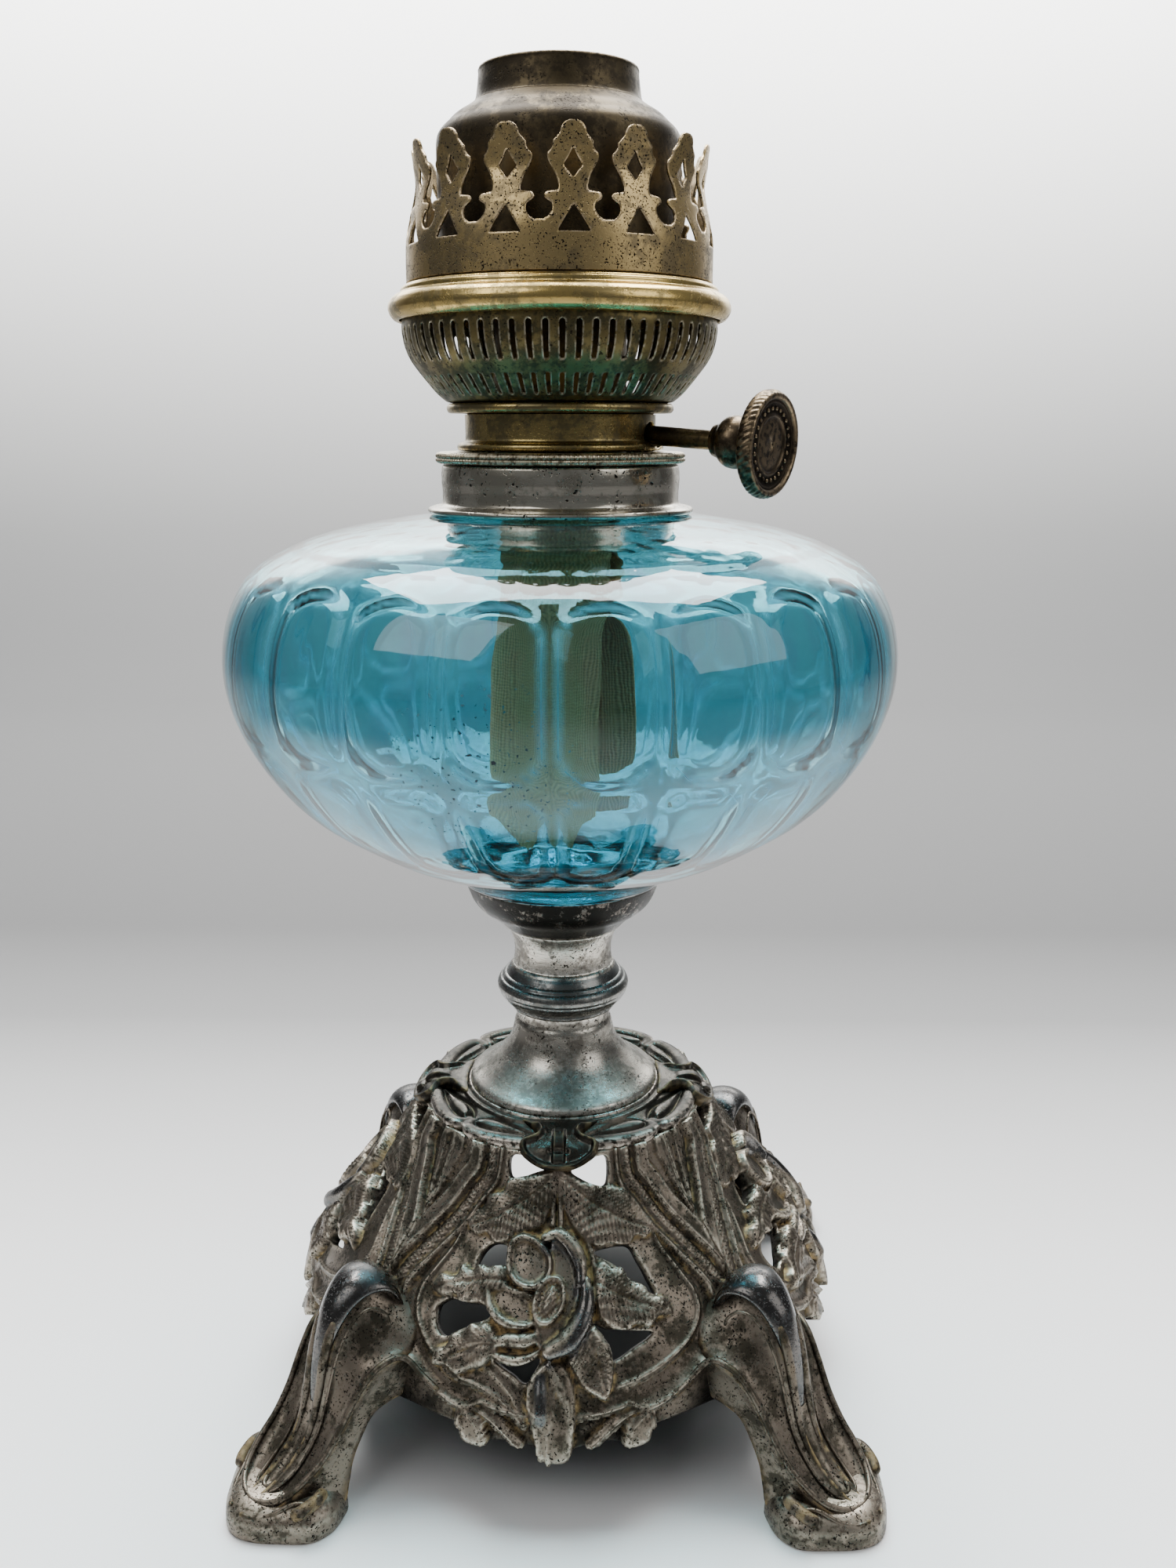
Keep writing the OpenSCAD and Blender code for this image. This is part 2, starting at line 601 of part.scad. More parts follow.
module wick() {
    n = 2 * (wick_n + 1);
    rings = len(wick_steps);
    pts = [for (k = [0 : rings - 1]) each wick_ring(k)];
    walls = [for (k = [0 : rings - 2], i = [0 : n - 1])
        [k * n + i, k * n + (i + 1) % n, (k + 1) * n + (i + 1) % n, (k + 1) * n + i]];
    caps = concat([for (i = [0 : wick_n - 1]) [i, n - 1 - i, n - 2 - i, i + 1]],
        [for (i = [0 : wick_n - 1]) let (b = (rings - 1) * n)
            [b + i, b + i + 1, b + n - 2 - i, b + n - 1 - i]]);
    color("#b5ab92") polyhedron(points = pts, faces = concat(walls, caps), convexity = 6);
}

base_plate();
rotate([0, 0, -135]) leg();  // leg_front_left
rotate([0, 0, -45]) leg();  // leg_front_right
rotate([0, 0, 45]) leg();  // leg_back_right
rotate([0, 0, 135]) leg();  // leg_back_left
panel();  // panel_front
rotate([0, 0, 90]) panel();  // panel_right
rotate([0, 0, 180]) panel();  // panel_back
rotate([0, 0, 270]) panel();  // panel_left
stem_bell();
stem_knop();
stem_spool();
font_cup();
cup_cement();
tie_rod();
cup_nut();
base_nut();
glass_font();
font_collar();
collar_sleeve();
collar_cement();
screw_ring();
burner_body();
basket_seat();
air_basket();
outer_wick_tube();
inner_air_tube();
gallery_ring();
gallery_crown();
chimney_plate();
burner_dome();
dome_neck();
wick();
wick_shaft();
spur_wheels();
shaft_bearing();
knob_hub();
wick_knob();
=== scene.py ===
import json
import math

import bpy
import numpy as np
from mathutils import Matrix, Vector


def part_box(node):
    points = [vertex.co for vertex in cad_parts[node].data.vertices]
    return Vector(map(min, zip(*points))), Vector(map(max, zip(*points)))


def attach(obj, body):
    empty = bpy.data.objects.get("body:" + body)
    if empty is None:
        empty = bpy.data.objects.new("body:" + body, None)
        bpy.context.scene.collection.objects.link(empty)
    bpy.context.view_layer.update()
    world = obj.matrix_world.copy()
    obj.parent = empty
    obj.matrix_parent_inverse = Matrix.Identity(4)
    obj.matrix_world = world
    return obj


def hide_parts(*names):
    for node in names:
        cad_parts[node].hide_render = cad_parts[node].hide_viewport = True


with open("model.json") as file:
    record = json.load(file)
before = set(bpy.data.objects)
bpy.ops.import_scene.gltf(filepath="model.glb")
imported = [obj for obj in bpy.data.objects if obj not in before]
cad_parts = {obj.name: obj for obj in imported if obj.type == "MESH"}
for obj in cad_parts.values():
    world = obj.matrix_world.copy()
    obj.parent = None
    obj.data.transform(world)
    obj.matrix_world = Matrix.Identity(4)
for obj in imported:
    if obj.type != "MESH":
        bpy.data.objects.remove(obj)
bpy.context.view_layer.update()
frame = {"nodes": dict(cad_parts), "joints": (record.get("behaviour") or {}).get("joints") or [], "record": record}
MM = 0.001
TAU = 2 * np.pi


def low(node):
    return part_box(node)[0][2] / MM


def high(node):
    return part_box(node)[1][2] / MM


# Heights of the joints between pieces, in millimetres, from the frame.
Z_FOOT = high("base_plate")
Z_KNOP = low("stem_knop")
Z_SPOOL = low("stem_spool")
Z_CUP = low("font_cup")
Z_RIM = high("font_cup")
Z_COLLAR = low("font_collar")
Z_CTOP = high("font_collar")
Z_RING = high("screw_ring")
Z_SEAT = low("basket_seat")
Z_BASKET = low("air_basket")
Z_GAL = low("gallery_ring")
Z_CROWN = low("gallery_crown")
Z_TIP = high("gallery_crown")
Z_TOP = high("dome_neck")
FRONT = -90.0
ROD = 3.3
CORNERS = {"front_left": -135, "front_right": -45, "back_right": 45, "back_left": 135}
SIDES = {"front": -90, "right": 0, "back": 90, "left": 180}


# Meshes. A shape is a list of (vertices in millimetres, index arrays), joined by put().

def put(name, shapes, mat, body, slot, smooth=True, uv=None):
    """One object from several shapes, at the origin, with its place in its mesh."""
    verts, faces, base = [], [], 0
    for v, fs in shapes:
        v = np.asarray(v, float).reshape(-1, 3)
        verts.append(v)
        faces += [np.asarray(f, int) + base for f in (fs if isinstance(fs, (list, tuple)) else [fs]) if len(f)]
        base += len(v)
    verts = np.vstack(verts) * MM
    me = bpy.data.meshes.new(name)
    me.vertices.add(len(verts))
    me.vertices.foreach_set("co", verts.astype(np.float32).ravel())
    loops = np.concatenate([f.ravel() for f in faces]).astype(np.int32)
    totals = np.concatenate([np.full(len(f), f.shape[1], np.int32) for f in faces])
    starts = np.concatenate([[0], np.cumsum(totals)[:-1]]).astype(np.int32)
    me.loops.add(len(loops))
    me.loops.foreach_set("vertex_index", loops)
    me.polygons.add(len(totals))
    me.polygons.foreach_set("loop_start", starts)
    me.polygons.foreach_set("loop_total", totals)
    me.polygons.foreach_set("use_smooth", np.full(len(totals), bool(smooth)))
    me.update(calc_edges=True)
    if uv is not None:
        me.uv_layers.new(name="UVMap").data.foreach_set("uv", np.asarray(uv, np.float32)[loops].ravel())
    me.validate()
    ob = bpy.data.objects.new(name, me)
    bpy.context.scene.collection.objects.link(ob)
    me.materials.append(mat)
    if body is not None:
        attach(ob, body)
    return ob


def quads(nu, nv, wrap_u=False, wrap_v=False):
    """Quads of an nu by nv vertex grid stored row by row; they face along du x dv."""
    a, b = np.meshgrid(np.arange(nu if wrap_u else nu - 1), np.arange(nv if wrap_v else nv - 1), indexing="ij")
    a, b = a.ravel(), b.ravel()
    c, d = (a + 1) % nu, (b + 1) % nv
    return np.stack([a * nv + b, c * nv + b, c * nv + d, a * nv + d], 1)


def fillet(pts, d=0.25, n=3):
    """The line pts with each inner corner replaced by a short quadratic curve that starts d before it."""
    pts = [np.asarray(p, float) for p in pts]
    out = [pts[0]]
    for a, b, c in zip(pts[:-2], pts[1:-1], pts[2:]):
        la, lc = np.linalg.norm(a - b), np.linalg.norm(c - b)
        p, q = b + (a - b) * min(d / max(la, 1e-9), 0.45), b + (c - b) * min(d / max(lc, 1e-9), 0.45)
        for t in np.linspace(0, 1, n + 1):
            out.append((1 - t) ** 2 * p + 2 * t * (1 - t) * b + t * t * q)
    return np.array(out + [pts[-1]])


def spline(pts, n=8, closed=False):
    """A Catmull-Rom curve through pts, n steps a span."""
    p = np.asarray(pts, float)
    ends = (p[-1], p[0], p[1]) if closed else (2 * p[0] - p[1], 2 * p[-1] - p[-2], None)
    p = np.vstack([ends[0], p, ends[1]] + ([ends[2]] if closed else []))
    t = np.linspace(0, 1, n, endpoint=False)[:, None]
    a, b, c, d = p[:-3, None], p[1:-2, None], p[2:-1, None], p[3:, None]
    out = 0.5 * (2 * b + (c - a) * t + (2 * a - 5 * b + 4 * c - d) * t ** 2 + (3 * b - a - 3 * c + d) * t ** 3)
    out = out.reshape(-1, p.shape[1])
    return out if closed else np.vstack([out, p[-2]])


def turned(prof, n=160, bump=None):
    """A closed outline of (r, z) turned about the middle line: x = r cos t, y = r sin t.
    It runs anticlockwise with r to the right and z up, and bump(t, r, z) is added to r."""
    prof = np.asarray(prof, float)
    t = np.linspace(0, TAU, n, endpoint=False)
    T, R = np.meshgrid(t, prof[:, 0], indexing="ij")
    Z = np.broadcast_to(prof[:, 1], T.shape)
    if bump is not None:
        R = R + bump(T, R, Z)
    R = np.maximum(R, 0.002)
    return np.stack([R * np.cos(T), R * np.sin(T), Z], -1), quads(n, len(prof), True, True)


def bar(path, radius, sides=12, around=None, closed=False):
    """A round bar: circles of the given radius, square to the path, that shrink to a point at both ends."""
    p = np.asarray(path, float)
    r = np.broadcast_to(np.asarray(radius, float), len(p)).copy()
    if not closed:
        step = np.concatenate([[0], np.cumsum(np.linalg.norm(np.diff(p, axis=0), axis=1))])
        end = np.minimum(step, step[-1] - step)
        r = r * np.sqrt(np.clip(1 - (1 - np.clip(end / np.maximum(r, 1e-6), 0, 1)) ** 2, 1e-6, 1))
    tan = np.gradient(p, axis=0) if not closed else np.roll(p, -1, 0) - np.roll(p, 1, 0)
    tan /= np.maximum(np.linalg.norm(tan, axis=1, keepdims=True), 1e-9)
    if around is None:
        around = np.linalg.svd(p - p.mean(0))[2][2]
    side = np.cross(tan, around)
    side /= np.maximum(np.linalg.norm(side, axis=1, keepdims=True), 1e-9)
    up = np.cross(side, tan)
    a = np.linspace(0, TAU, sides, endpoint=False)
    ring = np.cos(a)[None, :, None] * side[:, None] + np.sin(a)[None, :, None] * up[:, None]
    v = p[:, None] + r[:, None, None] * ring
    return v, quads(len(p), sides, closed, True)[:, ::-1]


def spin(shape, degrees, pivot=None):
    """A shape turned about the middle line."""
    v = np.asarray(shape[0], float).reshape(-1, 3)
    c, s = math.cos(math.radians(degrees)), math.sin(math.radians(degrees))
    return v @ np.array([[c, s, 0], [-s, c, 0], [0, 0, 1.0]]), shape[1]


def flip(shape, axis=1):
    """The mirror image of a shape, with its faces turned to point outwards again."""
    v = np.asarray(shape[0], float).reshape(-1, 3).copy()
    v[:, axis] *= -1
    fs = shape[1] if isinstance(shape[1], (list, tuple)) else [shape[1]]
    return v, [np.asarray(f)[:, ::-1] for f in fs]


# Flat geometry: signed distances, positive inside.

def outline(x, y, pts):
    """Signed distance to a closed outline, positive inside."""
    p = np.asarray(pts, float)
    d, inside = np.full(x.shape, 1e9), np.zeros(x.shape, bool)
    for a, b in zip(p, np.roll(p, -1, 0)):
        e = b - a
        t = np.clip(((x - a[0]) * e[0] + (y - a[1]) * e[1]) / max(e @ e, 1e-12), 0, 1)
        d = np.minimum(d, np.hypot(x - a[0] - t * e[0], y - a[1] - t * e[1]))
        if a[1] != b[1]:
            inside ^= ((a[1] > y) != (b[1] > y)) & (x < e[0] * (y - a[1]) / e[1] + a[0])
    return np.where(inside, d, -d)


def along(x, y, pts):
    """Distance to an open line, positive to its left, and how far along the line the nearest point lies."""
    p = np.asarray(pts, float)
    best, side, place, run = np.full(x.shape, 1e9), np.zeros(x.shape), np.zeros(x.shape), 0.0
    for a, b in zip(p[:-1], p[1:]):
        e = b - a
        length = np.hypot(*e)
        t = np.clip(((x - a[0]) * e[0] + (y - a[1]) * e[1]) / max(length ** 2, 1e-12), 0, 1)
        dx, dy = x - a[0] - t * e[0], y - a[1] - t * e[1]
        d = np.hypot(dx, dy)
        near = d < best
        best = np.where(near, d, best)
        side = np.where(near, np.sign(e[0] * dy - e[1] * dx), side)
        place = np.where(near, run + t * length, place)
        run += length
    return best * side, place


def dome(d, width):
    """A quarter circle: 0 at the edge, 1 from width inwards."""
    return np.sqrt(np.clip(1 - (1 - np.clip(d / width, 0, 1)) ** 2, 0, 1))


def over(a, b, k=0.3):
    """The higher of two heights, with a small fillet where they meet."""
    h = np.clip(k - np.abs(a - b), 0, None) / k
    return np.maximum(a, b) + h * h * k / 4


def ease(x, a, b):
    t = np.clip((x - a) / (b - a), 0, 1)
    return t * t * (3 - 2 * t)


def cut_sheet(U, V, dist, place, step, wrap=False):
    """A thick sheet over the grid U, V, kept where dist(U, V) > 0. Grid points next to the cut are moved onto it.
    place(U, V, side) gives points of the outer (0) and inner (1) face; the walls of the cut join the two."""
    D = dist(U, V)
    pad = "wrap" if wrap else "edge"
    cell = D[:-1, :-1] + D[1:, :-1] + D[1:, 1:] + D[:-1, 1:]
    if wrap:
        last = D[-1:, :-1] + D[:1, :-1] + D[:1, 1:] + D[-1:, 1:]
        cell = np.vstack([cell, last])
    keep = cell > 0
    nu, nv = U.shape
    near = np.zeros((nu, nv), int)
    k = np.pad(keep, ((1, 0), (0, 0)), mode="wrap") if wrap else np.pad(keep, ((1, 1), (0, 0)))
    k = np.pad(k, ((0, 0), (1, 1)))
    near = k[:-1, :-1].astype(int) + k[1:, :-1] + k[1:, 1:] + k[:-1, 1:]
    edge = (near > 0) & (near < 4)
    h = 0.02
    gu = (dist(U + h / step[0], V) - dist(U - h / step[0], V)) / (2 * h)
    gv = (dist(U, V + h / step[1]) - dist(U, V - h / step[1])) / (2 * h)
    g = np.maximum(gu ** 2 + gv ** 2, 0.3)
    lim = step[2]
    mu = np.clip(-D * gu / g, -lim, lim) * edge / step[0]
    mv = np.clip(-D * gv / g, -lim, lim) * edge / step[1]
    U2, V2 = U + mu, V + mv
    outer, inner = place(U2, V2, 0), place(U2, V2, 1)
    n = nu * nv
    i, j = np.nonzero(keep)
    i1 = (i + 1) % nu
    q = np.stack([i * nv + j, i1 * nv + j, i1 * nv + j + 1, i * nv + j + 1], 1)
    faces = [q, q[:, ::-1] + n]
    left = np.pad(keep, ((1, 0), (0, 0)), mode="wrap") if wrap else np.pad(keep, ((1, 1), (0, 0)))
    a, b = left[:-1], left[1:]
    for sel, turn in ((b & ~a, False), (a & ~b, True)):
        i, j = np.nonzero(sel)
        i = i % nu
        w = np.stack([i * nv + j, i * nv + j + 1, i * nv + j + 1 + n, i * nv + j + n], 1)
        faces.append(w[:, ::-1] if turn else w)
    low_ = np.pad(keep, ((0, 0), (1, 1)))
    a, b = low_[:, :-1], low_[:, 1:]
    for sel, turn in ((b & ~a, False), (a & ~b, True)):
        i, j = np.nonzero(sel)
        i1 = (i + 1) % nu
        w = np.stack([i * nv + j, i * nv + j + n, i1 * nv + j + n, i1 * nv + j], 1)
        faces.append(w[:, ::-1] if turn else w)
    faces = np.vstack(faces)
    used, idx = np.unique(faces, return_inverse=True)
    v = np.vstack([outer.reshape(-1, 3), inner.reshape(-1, 3)])[used]
    return v, idx.reshape(faces.shape)


# Materials. Lengths in them are millimetres of the lamp's own space.

class Graph:
    """A material under construction, with short names for its nodes."""

    def __init__(self, name):
        self.mat = bpy.data.materials.new(name)
        self.mat.use_nodes = True
        self.tree = self.mat.node_tree
        self.tree.nodes.clear()
        out = self.node("OutputMaterial")
        self.bsdf = self.node("BsdfPrincipled")
        self.tree.links.new(self.bsdf.outputs[0], out.inputs[0])
        self.coord = self.node("TexCoord")
        self.mm = self.vector("SCALE", self.coord.outputs["Object"], scale=1000.0)

    def node(self, kind, **settings):
        n = self.tree.nodes.new("ShaderNode" + kind)
        for key, value in settings.items():
            setattr(n, key, value)
        return n

    def join(self, socket, value):
        if isinstance(value, bpy.types.NodeSocket):
            self.tree.links.new(value, socket)
        elif socket.type == "RGBA":
            socket.default_value = (*value, 1)
        else:
            socket.default_value = value

    def set(self, **values):
        for key, value in values.items():
            self.join(self.bsdf.inputs[key.replace("_", " ")], value)

    def vector(self, op, a, b=None, scale=None):
        n = self.node("VectorMath", operation=op)
        self.join(n.inputs[0], a)
        if b is not None:
            self.join(n.inputs[1], b)
        if scale is not None:
            self.join(n.inputs["Scale"], scale)
        return n.outputs["Value"] if op in ("LENGTH", "DISTANCE") else n.outputs[0]

    def math(self, op, *values):
        n = self.node("Math", operation=op)
        for socket, value in zip(n.inputs, values):
            self.join(socket, value)
        return n.outputs[0]

    def times(self, a, b):
        return self.math("MULTIPLY", a, b)

    def plus(self, a, b):
        return self.math("ADD", a, b)

    def noise(self, size, place=None, detail=3.0, rough=0.55):
        n = self.node("TexNoise")
        self.join(n.inputs["Vector"], place or self.mm)
        n.inputs["Scale"].default_value = 1 / size
        n.inputs["Detail"].default_value = detail
        n.inputs["Roughness"].default_value = rough
        return n.outputs[0]

    def step(self, value, a, b):
        """0 below a, 1 above b, smooth between."""
        n = self.node("MapRange", interpolation_type="SMOOTHSTEP")
        self.join(n.inputs["Value"], value)
        n.inputs["From Min"].default_value = a
        n.inputs["From Max"].default_value = b
        return n.outputs["Result"]

    def mix(self, share, a, b):
        n = self.node("Mix", data_type="RGBA")
        self.join(n.inputs[0], share)
        self.join(n.inputs[6], a)
        self.join(n.inputs[7], b)
        return n.outputs[2]

    def paint(self, name):
        """A number painted on the mesh, 0 where there is none."""
        return self.node("Attribute", attribute_name=name).outputs["Fac"]

    def bump(self, height):
        """The normal of a surface raised by height in millimetres."""
        n = self.node("Bump")
        n.inputs["Distance"].default_value = 0.001
        self.join(n.inputs["Height"], height)
        self.join(self.bsdf.inputs["Normal"], n.outputs[0])

    def band(self, axis, a, b):
        """0 below the coordinate a on an axis, 1 above b."""
        n = self.node("SeparateXYZ")
        self.join(n.inputs[0], self.mm)
        return self.step(n.outputs[axis], a, b)


def simple(name, color, metallic, rough):
    g = Graph(name)
    g.set(Base_Color=color, Metallic=metallic, Roughness=rough)
    g.bump(g.times(g.noise(0.6), 0.03))
    return g.mat


def metal(name, light, dark, worn, rough=0.3, patch=7.0, pits=0.6, dust=0.0, spun=0.0, grain=0.02, cut=(0.45, 0.58),
          pit=0.55, spread=(0.45, 0.6)):
    """Old metal: light and dark patches, clustered pits, bright worn edges, dirt and painted shade in the hollows,
    painted reflection on polished parts and painted shade on inner faces.
    spun is the strength of the fine lines round a turned piece, cut says how much of it is dark, and pit and
    spread are the size of the pits and how far they reach."""
    g = Graph(name)
    tone = g.plus(g.times(g.noise(patch), 0.6), g.times(g.noise(patch / 5, rough=0.7), 0.4))
    dim = g.step(tone, *cut)
    color = g.mix(dim, light, dark)
    height = g.times(g.noise(0.4, detail=2), grain)
    if spun:
        ring = g.vector("NORMALIZE", g.vector("MULTIPLY", g.mm, (1, 1, 0)))
        place = g.vector("ADD", g.vector("SCALE", ring, scale=4.0), g.vector("MULTIPLY", g.mm, (0, 0, 5.0)))
        lines = g.noise(1.0, place, detail=4, rough=0.7)
        color = g.mix(g.times(g.step(lines, 0.5, 0.68), spun), color, dark)
        height = g.plus(height, g.times(lines, -0.02 * spun))
    # painted shade: the hollows are darkened towards a deeper copy of the dark tone, and are also made rougher
    hollow = g.paint("hollow")
    painted_hollow_shade = tuple(0.4 * c for c in dark)
    color = g.mix(g.times(hollow, 0.8), color, painted_hollow_shade)
    edge = g.times(g.paint("worn"), g.step(g.noise(1.3), 0.36, 0.56))
    color = g.mix(edge, color, worn)
    holes = g.times(g.step(g.noise(pit, detail=1), 0.59, 0.65), g.step(g.noise(4.5), *spread))
    holes = g.times(holes, pits)
    color = g.mix(holes, color, (0.015, 0.013, 0.011))
    grime = g.times(g.times(g.paint("dusty"), g.step(g.noise(2.5), 0.4, 0.6)), dust)
    color = g.mix(grime, color, (0.42, 0.30, 0.14))
    # painted shade: faces marked inside (the back of the foot's openwork) are painted near black
    color = g.mix(g.paint("inside"), color, (0.012, 0.011, 0.01))
    # polished parts are smoother, and also carry a painted reflection: a dark blue-grey colour
    polish_and_painted_reflection = g.paint("polish_and_painted_reflection")
    color = g.mix(g.times(polish_and_painted_reflection, 0.75), color, (0.075, 0.077, 0.08))
    r = g.plus(g.times(dim, 0.12), rough)
    r = g.plus(r, g.times(g.plus(hollow, holes), 0.25))
    r = g.plus(r, g.times(grime, 0.4))
    r = g.math("MAXIMUM", g.math("SUBTRACT", r, g.times(polish_and_painted_reflection, 0.2)), 0.12)
    g.set(Base_Color=color, Roughness=r, Metallic=g.math("SUBTRACT", 1.0, g.times(grime, 0.9)))
    g.bump(g.plus(height, g.times(holes, -0.06)))
    return g.mat


def blue_glass():
    """Turquoise pressed glass: upright streaks of a greyer tone, dark specks stuck inside, a faint wave."""
    g = Graph("glass")
    tall = g.vector("MULTIPLY", g.mm, (1, 1, 0.22))
    streak = g.step(g.noise(5.0, tall), 0.5, 0.66)
    color = g.mix(streak, (0.215, 0.56, 0.63), (0.25, 0.5, 0.6))
    # the glass is darker towards its foot
    color = g.mix(g.band("Z", 192, 158), color, (0.13, 0.45, 0.55))
    # painted shade: the panels' edges are painted deep cyan and partly opaque, standing in for the dark lines that the
    # ribs show edge-on
    rim = g.times(g.paint("rim"), 0.4)
    color = g.mix(rim, color, (0.02, 0.36, 0.55))
    near = g.vector("DISTANCE", g.mm, (-14, -76, 178))
    few = g.math("SUBTRACT", 1.0, g.step(near, 12, 26))
    speck = g.times(g.step(g.noise(1.1, detail=1), 0.7, 0.72), few)
    color = g.mix(speck, color, (0.01, 0.02, 0.03))
    g.set(Base_Color=color, Transmission_Weight=g.math("SUBTRACT", 1.0, g.math("MAXIMUM", speck, rim)), IOR=1.5,
          Specular_IOR_Level=0.3)
    g.set(Roughness=g.plus(g.times(g.step(g.noise(8), 0.55, 0.7), 0.05), 0.015))
    g.bump(g.times(g.noise(7.0, tall, detail=1), 0.12))
    # light that only casts shadows passes straight through, so that the wick inside is lit
    out = next(n for n in g.tree.nodes if n.type == "OUTPUT_MATERIAL")
    both = g.node("MixShader")
    clear = g.node("BsdfTransparent")
    clear.inputs["Color"].default_value = (0.9, 0.96, 0.97, 1)
    g.join(both.inputs[0], g.node("LightPath").outputs["Is Shadow Ray"])
    g.join(both.inputs[1], g.bsdf.outputs[0])
    g.join(both.inputs[2], clear.outputs[0])
    g.join(out.inputs[0], both.outputs[0])
    return g.mat


def cotton():
    """Woven tape: cords that run down it, crossed by a finer thread, stained by oil, and painted redder in the font to
    make up for the teal light through the glass.
    """
    g = Graph("wick")
    uv = g.vector("SCALE", g.coord.outputs["UV"], scale=100.0)
    cords = g.node("TexWave", wave_type="BANDS", bands_direction="X")
    cross = g.node("TexWave", wave_type="BANDS", bands_direction="Y")
    for n, size, bend in ((cords, 0.3, 3.0), (cross, 0.4, 6.0)):
        g.join(n.inputs["Vector"], uv)
        n.inputs["Scale"].default_value = size
        n.inputs["Distortion"].default_value = bend
        n.inputs["Detail"].default_value = 2
    weave = g.plus(g.times(cords.outputs["Fac"], 0.65), g.times(cross.outputs["Fac"], 0.35))
    color = g.mix(weave, (0.30, 0.22, 0.14), (0.62, 0.50, 0.35))
    color = g.mix(g.times(g.step(g.noise(14), 0.48, 0.62), 0.4), color, (0.40, 0.22, 0.11))
    color = g.mix(g.times(g.step(g.noise(3), 0.56, 0.66), 0.4), color, (0.22, 0.11, 0.06))
    # the part that hangs in the oil is soaked and redder; it is painted redder still to make up for the teal light that
    # reaches it through the glass
    color = g.mix(g.band("Z", 246, 232), color, g.mix(weave, (0.46, 0.17, 0.07), (0.86, 0.34, 0.14)))
    g.set(Base_Color=color, Roughness=0.95, Metallic=0.0)
    g.bump(g.plus(g.times(weave, 0.3), g.times(g.noise(0.5), 0.1)))
    return g.mat


M = {
    "spelter": metal("spelter", (0.17, 0.14, 0.11), (0.05, 0.043, 0.032), (0.4, 0.35, 0.28), 0.38, 7, 1.0, 1.0,
                     spread=(0.36, 0.55)),
    "plate": metal("plate", (0.052, 0.047, 0.038), (0.025, 0.022, 0.018), (0.31, 0.27, 0.23), 0.27, 8, 0.7, 0.4),
    "stem": metal("stem", (0.448, 0.42, 0.364), (0.154, 0.14, 0.119), (0.66, 0.624, 0.552), 0.26, 7, 1.0, spun=0.9),
    "cup": metal("cup", (0.11, 0.095, 0.081), (0.01, 0.0095, 0.0084), (0.31, 0.28, 0.24), 0.24, 4, 0.6, spun=0.8,
                 cut=(0.4, 0.47)),
    "knop": metal("knop", (0.18, 0.18, 0.17), (0.083, 0.086, 0.083), (0.53, 0.49, 0.42), 0.22, 6, 0.4, spun=0.3),
    "steel": metal("steel", (0.4, 0.4, 0.4), (0.2, 0.2, 0.2), (0.5, 0.5, 0.5), 0.35, 5, 0.4),
    "plaster": simple("plaster", (0.8, 0.77, 0.7), 0, 0.9),
    "nickel": metal("nickel", (0.58, 0.54, 0.45), (0.35, 0.32, 0.26), (0.7, 0.65, 0.55), 0.17, 11, 1.0, spun=0.35, grain=0.008,
                    pit=0.8, spread=(0.48, 0.62)),
    "ring": metal("ring", (0.288, 0.24, 0.156), (0.144, 0.12, 0.078), (0.55, 0.484, 0.352), 0.26, 6, 0.4),
    "brass": metal("brass", (0.16, 0.11, 0.045), (0.08, 0.06, 0.03), (0.4, 0.3, 0.15), 0.34, 6, 0.5, spun=0.3),
    "brass_dark": metal("brass_dark", (0.14, 0.105, 0.05), (0.07, 0.055, 0.032), (0.36, 0.28, 0.17), 0.34, 7, 0.6, spun=0.35),
    "olive": metal("olive", (0.37, 0.28, 0.11), (0.16, 0.13, 0.065), (0.54, 0.43, 0.21), 0.26, 7, 0.5, spun=0.6),
    "gold": metal("gold", (0.675, 0.486, 0.169), (0.338, 0.257, 0.108), (0.776, 0.611, 0.306), 0.22, 9, 0.35, spun=0.2),
    "crown": metal("crown", (0.493, 0.362, 0.167), (0.246, 0.189, 0.102), (0.686, 0.539, 0.343), 0.34, 9, 1.0, pit=0.42,
                   spread=(0.3, 0.5)),
    "dome": metal("dome", (0.0935, 0.0726, 0.0418), (0.0495, 0.0396, 0.0264), (0.273, 0.21, 0.126), 0.45, 10, 0.5, spun=0.2),
    "basket": metal("basket", (0.19, 0.15, 0.064), (0.081, 0.071, 0.038), (0.62, 0.56, 0.41), 0.35, 6, 0.8),
    "bronze": metal("bronze", (0.073, 0.054, 0.035), (0.031, 0.025, 0.018), (0.24, 0.18, 0.11), 0.3, 5, 0.4),
    "glass": blue_glass(),
    "wick": cotton(),
}

slots = {s["node"]: s["material_slot"] for s in frame["record"]["subparts"]}
for n, ob in frame["nodes"].items():
    ob.data.materials.clear()
    ob.data.materials.append(M[slots[n]])


def paint(ob, name, values):
    """A number for each vertex, which the materials read."""
    ob.data.attributes.new(name, "FLOAT", "POINT").data.foreach_set("value", np.asarray(values, np.float32))


